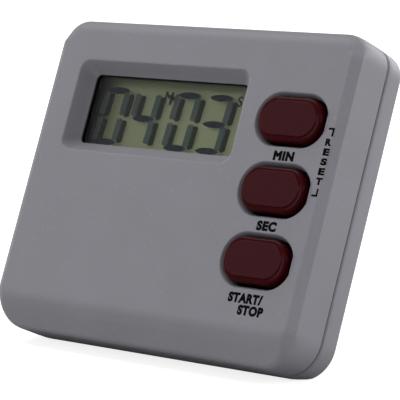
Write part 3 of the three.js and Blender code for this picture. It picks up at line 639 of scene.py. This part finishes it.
WELL_PROFILE = chaikin([
    (WELL_SLOPE + 0.5, 0), (WELL_SLOPE + 0.2, 0), (WELL_SLOPE - 0.05, 0.06), (WELL_SLOPE - 0.3, 0.4),
    (0.6, WELL_DEPTH - 0.75), (0.12, WELL_DEPTH - 0.15), (0, WELL_DEPTH), (0, WELL_DEPTH + 0.15),
    (0.1, WELL_DEPTH + WELL_LIP)])
DISH_PROFILE = chaikin([
    (1.2, 0), (1.04, 0), (0.94, 0.03), (0.72, 0.35), (0.55, 0.85), (0.45, 1.3), (0.4, 1.8),
    (0.4, GUIDE_DEPTH)])


def flat(loop):
    """A ring without its heights."""
    return [(x, y) for x, y, _ in loop]


def crease_points():
    """Points that carry the soft crease where the sloping band starts, every other row set over."""
    across, up, stagger = 1.5, 0.2, 0.4
    lowest = -BAND_START - 1.4
    count = int(2 * HALF_WIDTH / across)
    rows = [lowest + up * row for row in range(15)]
    return [((column - count / 2) * across + stagger * (row % 2), y)
            for row, y in enumerate(rows) for column in range(count + 1)]


def inner_face_height(x, y):
    return face_height(x, y) - FACE_WALL


def front_casing():
    skin = Skin()
    paths = [edge_path(*station) for station in STATIONS]
    rings = [[path[index] for path in paths] for index in range(len(paths[0]))]
    seam_profile = [(0, SEAM - SEAM_ROUND), (SEAM_ROUND / 4, SEAM - SEAM_ROUND / 4), (SEAM_ROUND, SEAM),
                    (WALL, SEAM), (WALL, INNER_EDGE)]
    rings += [casing_ring(*spot) for spot in seam_profile]
    inner_rim = [(x, y, inner_face_height(x, y)) for x, y, _ in casing_ring(EDGE_REACH, 0)]
    rings.append(inner_rim)
    skin.loft(rings)

    well = [well_ring(*spot) for spot in WELL_PROFILE]
    well += [well_ring(WELL_FOOT, WELL_DEPTH + WELL_LIP), well_ring(WELL_SLOPE + WELL_WALL, FACE_WALL)]
    skin.loft(well)
    guides = []
    for name in BUTTON_NAMES:
        guide = [button_ring(name, *spot) for spot in DISH_PROFILE]
        guide += [button_ring(name, GUIDE_WALL, depth) for depth in (GUIDE_DEPTH, FACE_WALL)]
        skin.loft(guide)
        guides.append(guide)

    outer_holes = [flat(well[0])] + [flat(guide[0]) for guide in guides]
    inner_holes = [flat(well[-1])] + [flat(guide[-1]) for guide in guides]
    extra = crease_points()
    skin.sheet(flat(rings[0]), outer_holes, face_height, extra)
    skin.sheet(flat(inner_rim), inner_holes, inner_face_height, extra)
    skin.finish("front_shell", CASE, "case_body", ["front_casing"])


# ---- rear casing --------------------------------------------------------------------------------

REAR_DRAFT = 0.25
REAR_ROUND = 0.8
REAR_SHOULDER = 0.34  # rounding of the rear casing at the seam
RIM = 0.15  # rounding of the recesses' rims
STAND_GAP = 0.3  # between the folded stand and its recess
STAND_HALF = own_box("stand")[1].x
STAND_HEEL = 0.9  # how far the plate reaches past its pin
STAND_HEADROOM = 2.05  # how far the recess reaches past the pin
STAND_LENGTH = 36.0  # from the pin to the foot
STAND_FLOOR = 11.35  # depth of the recess's floor
DOOR_CENTRE = tuple(own_centre("cell_door").xy)
DOOR_RADIUS = own_box("cell_door")[1].x - DOOR_CENTRE[0]
DOOR_REAR = -own_box("cell_door")[0].z
DOOR_FRONT = DOOR_REAR - 0.75
DOOR_GAP = 0.25
DOOR_BED = 0.2  # space in front of the door
MAGNET_NODES = ("magnet_left", "magnet_right")
MAGNET_GAP = 0.15
SCREW_NODES = tuple(f"case_screw_{number}" for number in (1, 2, 3, 4))
SCREW_HOLE_RADIUS = 2
SCREW_HOLE_FLOOR = INSIDE_DEPTH - 0.3
SOUNDER_CENTRE = tuple(own_centre("sounder_disc").xy)
SOUND_PITCH = 2.6
SOUND_HOLES = ((0, 0), (SOUND_PITCH, 0), (-SOUND_PITCH, 0), (0, SOUND_PITCH), (0, -SOUND_PITCH))
SOUND_HOLE_RADIUS = 0.6


def rear_path(x, y, nx, ny):
    """The rear casing's section at one station, from its lip round to the back."""
    start = SEAM + SEAM_GAP
    shoulder, back = REAR_SHOULDER, REAR_DRAFT
    profile = chaikin([
        (LIP_INSET, start), (shoulder + 0.3, start), (shoulder, start), (0.75 * shoulder, start + 0.06),
        (0.22 * shoulder, start + 0.28), (0.04, start + 0.45), (0.02, start + 1),
        (back, BACK - REAR_ROUND - 0.3), (back + 0.05, BACK - 0.75 * REAR_ROUND),
        (back + 0.3 * REAR_ROUND, BACK - 0.28 * REAR_ROUND), (back + 0.75 * REAR_ROUND, BACK - 0.03),
        (back + REAR_ROUND + 0.3, BACK), (back + REAR_ROUND + 1, BACK)])
    return [(x - inset * nx, y - inset * ny, -depth) for inset, depth in profile]


def pocket(skin, loop_at, top, floor):
    """A recess let into the back, with a softened rim and a flat floor; returns its outline."""
    profile = chaikin([(RIM, top), (RIM / 2, top), (0, top - RIM / 2), (0, top - RIM)])
    rings = [[(x, y, -depth) for x, y in loop_at(out)] for out, depth in profile]
    rings.append([(x, y, -floor) for x, y in loop_at(0)])
    made = skin.loft(rings)
    skin.cap(made[-1])
    return flat(rings[0])


def stand_recess(spread):
    top = PIN_Y + STAND_HEADROOM
    bottom = PIN_Y - STAND_LENGTH - STAND_GAP
    half = STAND_HALF + STAND_GAP + spread
    corner = 0.6 + spread
    return rounded_rectangle(half, (top - bottom) / 2 + spread, corner, (0, (top + bottom) / 2), steps=6)


def disc(centre, radius, steps=72):
    """A round outline that can be spread outwards."""
    return lambda spread: circle(radius + spread, centre, steps)


def rear_casing():
    skin = Skin()
    lip_top = SEAM - LIP_HEIGHT
    start = SEAM + SEAM_GAP
    paths = [rear_path(*station) for station in STATIONS]
    lip_profile = [(LIP_INSET + LIP_WALL, INSIDE_DEPTH - REAR_FLOOR), (LIP_INSET + LIP_WALL, lip_top),
                   (LIP_INSET, lip_top), (LIP_INSET, start - 0.05)]
    rings = [casing_ring(*spot) for spot in lip_profile]
    rings += [[path[index] for path in paths] for index in range(len(paths[0]))]
    made = skin.loft(rings)
    skin.cap(made[0])
    holes = [
        pocket(skin, stand_recess, BACK, STAND_FLOOR),
        pocket(skin, disc(DOOR_CENTRE, DOOR_RADIUS + DOOR_GAP), BACK, DOOR_FRONT - DOOR_BED)]
    for node in MAGNET_NODES:
        centre = tuple(own_centre(node).xy)
        radius = own_box(node)[1].x - centre[0] + MAGNET_GAP
        holes.append(pocket(skin, disc(centre, radius), BACK, INSIDE_DEPTH))
    for node in SCREW_NODES:
        hole = disc(tuple(own_centre(node).xy), SCREW_HOLE_RADIUS)
        holes.append(pocket(skin, hole, BACK, SCREW_HOLE_FLOOR))
    for dx, dy in SOUND_HOLES:
        spot = (SOUNDER_CENTRE[0] + dx, SOUNDER_CENTRE[1] + dy)
        holes.append(pocket(skin, disc(spot, SOUND_HOLE_RADIUS), BACK, INSIDE_DEPTH))
    skin.sheet(flat(rings[-1]), holes, lambda x, y: -BACK)
    skin.finish("rear_shell", REAR_CASE, "case_body", ["rear_casing"])


# ---- buttons ------------------------------------------------------------------------------------

CAP_STEP = 0.3  # how far the ledge lies below the plateau


def button_cap(name):
    """A flat plateau, a small step down to a rounded ledge, and the wall in its guide."""
    top = -CAP_RISE
    ledge = top + CAP_STEP
    skin = Skin()
    crown = chaikin([
        (-3.2, top), (-1.6, top), (-1.05, top), (-0.93, top + 0.03), (-0.87, ledge - 0.06),
        (-0.8, ledge), (-0.68, ledge - 0.02), (-0.42, ledge + 0.02), (-0.2, ledge + 0.14),
        (-0.05, ledge + 0.4), (0, ledge + 0.9), (0, GUIDE_DEPTH - 0.6), (0, GUIDE_DEPTH)])
    made = skin.loft([button_ring(name, *spot) for spot in crown])
    skin.cap(made[0])
    skin.cap(made[-1])
    skin.finish(f"{name}_cap", BUTTON, f"{name}_key", [f"{name}_button"])


# ---- display ------------------------------------------------------------------------------------

SEGMENT_Z = own_box("lcd_rear_glass")[1].z + 0.05
FOIL_Z = own_box("lcd_reflector")[1].z + 0.03
SHADOW_SHIFT = Vector((0.32, -0.05))  # how far a segment's painted shadow lies from it across the foil
INK_THICKNESS = 0.012
DIGIT_HEIGHT = 11.5
DIGIT_WIDTH = 6.25
DIGIT_BOTTOM = 6.9
DIGIT_LEFTS = (("0", -26.15), ("4", -18.4), ("0", -8.95), ("3", -1.4))
BAR = 1.38  # width of a segment
SEGMENT_GAP = 0.2
LEVEL_OVERHANG = 3 * SEGMENT_GAP  # how much longer a level segment is than the digit's middle width
LEVEL_MIDDLE = 0.54  # where its middle lies, as a share of that width
LENS_POWER = 0.55  # how bluntly a level segment ends
UPRIGHT_GAP = 2.4 * SEGMENT_GAP  # how much shorter an upright segment is than half the digit
DIGIT_SLANT = 0.05
LIT = {"0": "abcdef", "4": "bcfg", "3": "abcdg"}
LEVEL_SPOTS = {"a": 1, "g": 0.5, "d": 0}  # how far up the digit
UPRIGHT_SPOTS = {"b": (1, 0.75), "c": (1, 0.25), "e": (0, 0.25), "f": (0, 0.75)}


def level_bar(length, width):
    """A bar along x that swells in its middle, like a lens."""
    steps = 12
    upper = []
    for step in range(steps + 1):
        t = step / steps
        upper.append((length * (t - 0.5), width / 2 * math.sin(math.pi * t) ** LENS_POWER))
    return upper + [(x, -y) for x, y in reversed(upper[1:-1])]


def upright_bar(length, width):
    """A straight bar along y with pointed ends."""
    half, tip = length / 2, 0.22 * width
    return [(0, -half), (width / 2, tip - half), (width / 2, half - tip),
            (0, half), (-width / 2, half - tip), (-width / 2, tip - half)]


def digit_bars(character, left, level):
    """Outlines of a digit's lit segments, either the level or the upright ones."""
    width, height = DIGIT_WIDTH - BAR, DIGIT_HEIGHT - BAR
    outlines = []
    for key in LIT[character]:
        if level and key in LEVEL_SPOTS:
            spot = (LEVEL_MIDDLE, LEVEL_SPOTS[key])
            bar = level_bar(width + LEVEL_OVERHANG, 0.95 * BAR)
        elif not level and key in UPRIGHT_SPOTS:
            spot = UPRIGHT_SPOTS[key]
            bar = upright_bar(height / 2 - UPRIGHT_GAP, BAR)
        else:
            continue
        outline = []
        for x, y in bar:
            high = BAR / 2 + spot[1] * height + y
            across = BAR / 2 + spot[0] * width + x + DIGIT_SLANT * high
            outline.append((left + across, DIGIT_BOTTOM + high))
        outlines.append(outline)
    return outlines


def plates(name, outlines, z, material):
    """Thin flat plates with the given outlines."""
    skin = Skin()
    for outline in outlines:
        top = [(x, y, z) for x, y in outline]
        bottom = [(x, y, z - INK_THICKNESS) for x, y in outline]
        for ring in skin.loft([top, bottom]):
            skin.cap(ring)
    skin.finish(name, material, "case_body")


def display_digits():
    """The level segments, dark with their own painted shadow, the upright segments, and painted shadows
    of the upright ones on the foil.
    """
    level_bars = [bar for digit in DIGIT_LEFTS for bar in digit_bars(*digit, True)]
    upright_bars = [bar for digit in DIGIT_LEFTS for bar in digit_bars(*digit, False)]
    shadows = [[(x + SHADOW_SHIFT.x, y + SHADOW_SHIFT.y) for x, y in bar] for bar in upright_bars]
    plates("display_level_segments", level_bars, SEGMENT_Z, DARK_SEGMENT_WITH_PAINTED_SHADOW)
    plates("display_upright_segments", upright_bars, SEGMENT_Z, PALE_SEGMENT)
    # painted shadows of the upright segments, set over on the foil
    plates("display_painted_segment_shadows", shadows, FOIL_Z, PAINTED_SEGMENT_SHADOW)


# ---- printed words ------------------------------------------------------------------------------

LETTER_SPACING = 1.12
BOLD = 0.125  # how much thicker the strokes are made, in millimetres
FINE_BOLD = 0.088
LABELS = (
    ("legend_minute", "MIN", (21.8, 26.25, 5.7, 7.45)),
    ("legend_second", "SEC", (21.95, 26.2, -6.95, -5.15)),
    ("legend_start", "START/", (19.7, 27.1, -19.9, -18.1)),
    ("legend_stop", "STOP", (22.3, 27.8, -21.95, -20.15)),
)
RESET_X = (32.05, 33.35)
RESET_TOP = 10.35
RESET_PITCH = 1.74
RESET_HEIGHT = 1.3
HOOK_STROKE = 0.36
UPPER_HOOK = (32.1, 33.3, 10.8, 12.3)
LOWER_HOOK = (31.8, 33.05, 0.0, 1.45)
DISPLAY_MARKS = (
    ("display_mark_minutes", "M", (-10.8, -8.9, 16.0, 18.2), SEGMENT_Z, DARK_SEGMENT_WITH_PAINTED_SHADOW, 0.08),
    ("display_mark_seconds", "S", (6.25, 7.4, 16.3, 18.3), SEGMENT_Z, DARK_SEGMENT_WITH_PAINTED_SHADOW, 0.04),
    # a painted shadow of the M on the foil
    ("display_mark_painted_shadow", "M", (-10.4, -8.5, 15.9, 18.1), FOIL_Z, PAINTED_SEGMENT_SHADOW, 0.08),
)


def words(name, text, box, z, material, bold):
    """Flat lettering that fills the box (x0, x1, y0, y1)."""
    curve = bpy.data.curves.new(name, "FONT")
    curve.body = text
    height = box[3] - box[2]
    curve.bevel_depth = bold / height
    curve.bevel_resolution = 1
    curve.space_character = LETTER_SPACING
    maker = bpy.data.objects.new(name, curve)
    bpy.context.scene.collection.objects.link(maker)
    bpy.context.view_layer.update()
    made = maker.evaluated_get(bpy.context.evaluated_depsgraph_get())
    data = bpy.data.meshes.new_from_object(made)
    bpy.data.objects.remove(maker)
    low = [min(vertex.co[axis] for vertex in data.vertices) for axis in range(3)]
    high = [max(vertex.co[axis] for vertex in data.vertices) for axis in range(3)]
    scale = ((box[1] - box[0]) / (high[0] - low[0]), height / (high[1] - low[1]),
             INK_THICKNESS / (high[2] - low[2]))
    data.transform(Matrix.Translation([-value for value in low]))
    data.transform(Matrix.Diagonal((*scale, 1)))
    data.transform(PLACE @ Matrix.Translation((box[0], box[2], z)))
    data.name = name
    data.materials.clear()
    data.materials.append(material)
    piece = bpy.data.objects.new(name, data)
    bpy.context.scene.collection.objects.link(piece)
    settle(piece, "case_body")


def bracket(box, top):
    """A hook of two strokes: one across the top or the foot, and one down the right side."""
    x0, x1, y0, y1 = box
    if top:
        across = [(x0, y1 - HOOK_STROKE), (x1, y1 - HOOK_STROKE), (x1, y1), (x0, y1)]
    else:
        across = [(x0, y0), (x1, y0), (x1, y0 + HOOK_STROKE), (x0, y0 + HOOK_STROKE)]
    down = [(x1 - HOOK_STROKE, y0), (x1, y0), (x1, y1), (x1 - HOOK_STROKE, y1)]
    return [across, down]


def legends():
    """The words by the buttons, RESET running down between its hooks, and the display's marks."""
    for name, text, box in LABELS:
        words(name, text, box, 0, INK, BOLD)
    for index, letter in enumerate("RESET"):
        top = RESET_TOP - index * RESET_PITCH
        box = (*RESET_X, top - RESET_HEIGHT, top)
        words(f"legend_reset_{index + 1}", letter, box, 0, INK, FINE_BOLD)
    hooks = bracket(UPPER_HOOK, True) + bracket(LOWER_HOOK, False)
    plates("legend_reset_hooks", hooks, INK_THICKNESS, INK)
    for name, letter, box, z, material, bold in DISPLAY_MARKS:
        words(name, letter, box, z, material, bold)


# ---- back pieces --------------------------------------------------------------------------------

STAND_HALF_THICK = 0.95
FOOT_SPARE = 0.16  # what the table takes off the stand's foot
STAND_EDGE = 0.25  # rounding of the stand's edges
PANEL_HALF = 7.5  # the stand's finger panel
PANEL_REACH = (29, 7)  # how far below the pin it ends and starts
PANEL_CORNER = 2
PANEL_DEPTH = 0.4
RIB_COUNT = 3
RIB_START = 2.2
RIB_PITCH = 1.3
RIB_HALF = 5
RIB_WIDTH = 0.6
RIB_DEPTH = 0.3
DOOR_EDGE = 0.15
METAL_EDGE = 0.2  # rounding of the magnets and the screw heads
COIN_SLOT = {"half_length": 5.5, "half_width": 0.75, "corner": 0.7, "depth": 0.5}
SCREW_HEAD = 1.35  # height of a casing screw's head
SHANK_START = 1.2  # the shank starts inside the head
SHANK_RADIUS = 0.95
SHANK_TIP = 0.5  # the shank's end narrows over this length, to this radius
CROSS_DEPTH = 0.6


def plain_loop(x0, x1, y0, y1, corner):
    """A rounded rectangle's outline that can be spread outwards."""
    centre = ((x0 + x1) / 2, (y0 + y1) / 2)
    return lambda spread: rounded_rectangle(
        (x1 - x0) / 2 + spread, (y1 - y0) / 2 + spread, corner + spread, centre, steps=5)


def slab_with_pockets(skin, loop_at, front, rear, round_off, pockets):
    """A flat slab with rounded edges, and recesses (outline, floor) let into its rear face."""
    r = round_off
    profile = chaikin([(2 * r, front), (r, front), (0.3 * r, front + 0.3 * r), (0, front + r),
                       (0, front + 1.2 * r), (0, rear - 1.2 * r), (0, rear - r),
                       (0.3 * r, rear - 0.3 * r), (r, rear), (2 * r, rear)])
    rings = [[(x, y, -depth) for x, y in loop_at(-inset)] for inset, depth in profile]
    made = skin.loft(rings)
    skin.cap(made[0])
    holes = [pocket(skin, outline, rear, floor) for outline, floor in pockets]
    skin.sheet(flat(rings[-1]), holes, lambda x, y: -rear)


def stand_turn():
    """Turns the folded stand out to where it stands."""
    lean = math.asin(-INWARD.z)
    pin = Vector((0, PIN_Y, -PIN_DEPTH))
    splay = math.acos((PLACE @ pin).z / (STAND_LENGTH * MM))
    return Matrix.Translation(pin) @ Matrix.Rotation(lean + splay, 4, "X") @ Matrix.Translation(-pin)


def stand():
    """The stand's plate, with a finger panel and three grip ribs let into it."""
    front = PIN_DEPTH - STAND_HALF_THICK
    rear = PIN_DEPTH + STAND_HALF_THICK
    foot = PIN_Y - STAND_LENGTH - FOOT_SPARE
    panel_low, panel_high = [PIN_Y - reach for reach in PANEL_REACH]
    panel = plain_loop(-PANEL_HALF, PANEL_HALF, panel_low, panel_high, PANEL_CORNER)
    pockets = [(panel, rear - PANEL_DEPTH)]
    for rib in range(RIB_COUNT):
        low = foot + RIB_START + RIB_PITCH * rib
        groove = plain_loop(-RIB_HALF, RIB_HALF, low, low + RIB_WIDTH, 0.25)
        pockets.append((groove, rear - RIB_DEPTH))
    outline = plain_loop(-STAND_HALF, STAND_HALF, foot, PIN_Y + STAND_HEEL, 0.8)
    plate = Skin()
    slab_with_pockets(plate, outline, front, rear, STAND_EDGE, pockets)
    plate.finish("stand_plate", STAND, "stand_leg", ["stand"], stand_turn())


def cell_door():
    """The round door with a slot for a coin."""
    x, y = DOOR_CENTRE
    reach, half = COIN_SLOT["half_length"], COIN_SLOT["half_width"]
    slot = plain_loop(x - reach, x + reach, y - half, y + half, COIN_SLOT["corner"])
    pockets = [(slot, DOOR_REAR - COIN_SLOT["depth"])]
    skin = Skin()
    outline = disc(DOOR_CENTRE, DOOR_RADIUS, 96)
    slab_with_pockets(skin, outline, DOOR_FRONT, DOOR_REAR, DOOR_EDGE, pockets)
    skin.finish("coin_slot_door", DOOR, "cell_cover", ["cell_door"])


def magnets():
    """The two flat discs that hold the timer to a steel cupboard."""
    for node in MAGNET_NODES:
        low, high = own_box(node)
        centre = tuple(own_centre(node).xy)
        skin = Skin()
        slab_with_pockets(skin, disc(centre, high.x - centre[0]), -high.z, -low.z, METAL_EDGE, [])
        skin.finish(f"{node}_disc", MAGNET, "case_body", [node])


def cross_outline(centre, reach, half):
    """A plus sign, for a screw's recess."""
    def loop(spread):
        r, h = reach + spread, half + spread
        corners = [(h, -r), (h, -h), (r, -h), (r, h), (h, h), (h, r),
                   (-h, r), (-h, h), (-r, h), (-r, -h), (-h, -h), (-h, -r)]
        return [(centre[0] + x, centre[1] + y) for x, y in corners]
    return loop


def case_screws():
    """Cross-head screws: a rounded head with its recess, and the shank inside the casing."""
    for node in SCREW_NODES:
        low, high = own_box(node)
        centre = tuple(own_centre(node).xy)
        radius = high.x - centre[0]
        rear = -low.z
        cross = cross_outline(centre, 0.6 * radius, 0.17 * radius)
        pockets = [(cross, rear - CROSS_DEPTH)]
        skin = Skin()
        slab_with_pockets(skin, disc(centre, radius, 40), rear - SCREW_HEAD, rear, METAL_EDGE, pockets)
        start = SHANK_START - rear
        shank = [(0, start), (SHANK_RADIUS, start), (SHANK_RADIUS, high.z - SHANK_TIP),
                 (SHANK_TIP, high.z), (0, high.z)]
        skin.turned(shank, centre, 24)
        skin.finish(f"{node}_cross_head", STEEL, "case_body", [node])


# ---- studio -------------------------------------------------------------------------------------

CAMERA_AIM = Vector((4.68, -1.83, -4.30))
CAMERA_DISTANCE = 0.41463
CAMERA_AZIMUTH = math.radians(39.54)
CAMERA_ELEVATION = math.radians(7.78)
CAMERA_LENS = 209.2
LAMP_DISTANCE = 0.9
LAMP_AIM = Vector((0, 0, 0.03))
FLOOR_RADIUS = 4.0
AMBIENT = 0.35
SOFTBOXES = (  # name, azimuth and elevation in degrees, width and height in metres, level
    ("upper_left_softbox", -78, 66, 0.6, 0.6, 0.4),
    ("left_softbox", -78, 10, 0.4, 0.4, 0.18),
    ("front_softbox", -11, 22, 0.5, 0.5, 0.26),
    ("right_softbox", 112, 18, 0.4, 0.5, 0.46),
    ("rear_softbox", 175, 12, 0.6, 0.5, 0.5),
)


def direction(azimuth, elevation):
    """The unit vector towards an azimuth, counted from -Y towards +X, and an elevation."""
    level = math.cos(elevation)
    return Vector((math.sin(azimuth) * level, -math.cos(azimuth) * level, math.sin(elevation)))


def studio_camera():
    data = bpy.data.cameras.new("camera")
    data.lens = CAMERA_LENS
    data.sensor_width = 36
    data.clip_start = 0.01
    camera = bpy.data.objects.new("camera", data)
    away = direction(CAMERA_AZIMUTH, CAMERA_ELEVATION)
    camera.location = PLACE @ CAMERA_AIM + away * CAMERA_DISTANCE
    camera.rotation_euler = away.to_track_quat("Z", "Y").to_euler()
    bpy.context.scene.collection.objects.link(camera)
    bpy.context.scene.camera = camera


def softbox(name, azimuth, elevation, width, height, level):
    """A lamp that alone would light a white surface facing it to the given level."""
    data = bpy.data.lights.new(name, "AREA")
    data.shape = "RECTANGLE"
    data.size = width
    data.size_y = height
    data.energy = level * math.pi ** 2 * LAMP_DISTANCE ** 2
    light = bpy.data.objects.new(name, data)
    light.visible_camera = False
    away = direction(math.radians(azimuth), math.radians(elevation))
    light.location = away * LAMP_DISTANCE + LAMP_AIM
    light.rotation_euler = away.to_track_quat("Z", "Y").to_euler()
    bpy.context.scene.collection.objects.link(light)


def pale_paper():
    """Pale paper that looks evenly lit, and throws only a little light back up."""
    nodes = Nodes("pale_paper")
    fine = nodes.noise(900, 2.0)
    nodes.set(Base_Color=nodes.tinted((0.5, 0.5, 0.5), nodes.spread(fine, 0.98, 1.02)), Roughness=0.9)
    nodes.set(Specular_IOR_Level=0.0)
    distance = nodes.vector_math("LENGTH", nodes.place())
    glow = nodes.spread(distance.outputs["Value"], 0.8, 1.0, 0.1, 0.5)
    path = nodes.add("ShaderNodeLightPath")
    nodes.set(Emission_Color=(1, 1, 1, 1))
    nodes.set(Emission_Strength=nodes.math("MULTIPLY", glow, path.outputs["Is Camera Ray"]))
    return nodes.material


def studio_floor():
    skin = bmesh.new()
    spots = [skin.verts.new((x, y, 0)) for x, y in circle(FLOOR_RADIUS, steps=64)]
    skin.faces.new(spots)
    data = bpy.data.meshes.new("floor")
    skin.to_mesh(data)
    skin.free()
    data.materials.append(pale_paper())
    floor = bpy.data.objects.new("floor", data)
    bpy.context.scene.collection.objects.link(floor)


def studio_world():
    """White behind the object, and a soft grey light from all round."""
    world = bpy.data.worlds.new("studio")
    world.use_nodes = True
    tree = world.node_tree
    around = tree.nodes["Background"]
    around.inputs["Color"].default_value = (AMBIENT, AMBIENT, AMBIENT, 1)
    white = tree.nodes.new("ShaderNodeBackground")
    white.inputs["Color"].default_value = (1, 1, 1, 1)
    path = tree.nodes.new("ShaderNodeLightPath")
    mix = tree.nodes.new("ShaderNodeMixShader")
    tree.links.new(path.outputs["Is Camera Ray"], mix.inputs["Fac"])
    tree.links.new(around.outputs["Background"], mix.inputs[1])
    tree.links.new(white.outputs["Background"], mix.inputs[2])
    tree.links.new(mix.outputs["Shader"], tree.nodes["World Output"].inputs["Surface"])
    bpy.context.scene.world = world


# ---- build --------------------------------------------------------------------------------------

dress_carried_nodes()
front_casing()
rear_casing()
for name in BUTTON_NAMES:
    button_cap(name)
display_digits()
legends()
stand()
cell_door()
magnets()
case_screws()

studio_camera()
studio_floor()
studio_world()
for lamp in SOFTBOXES:
    softbox(*lamp)
bpy.context.scene.view_settings.view_transform = "Standard"
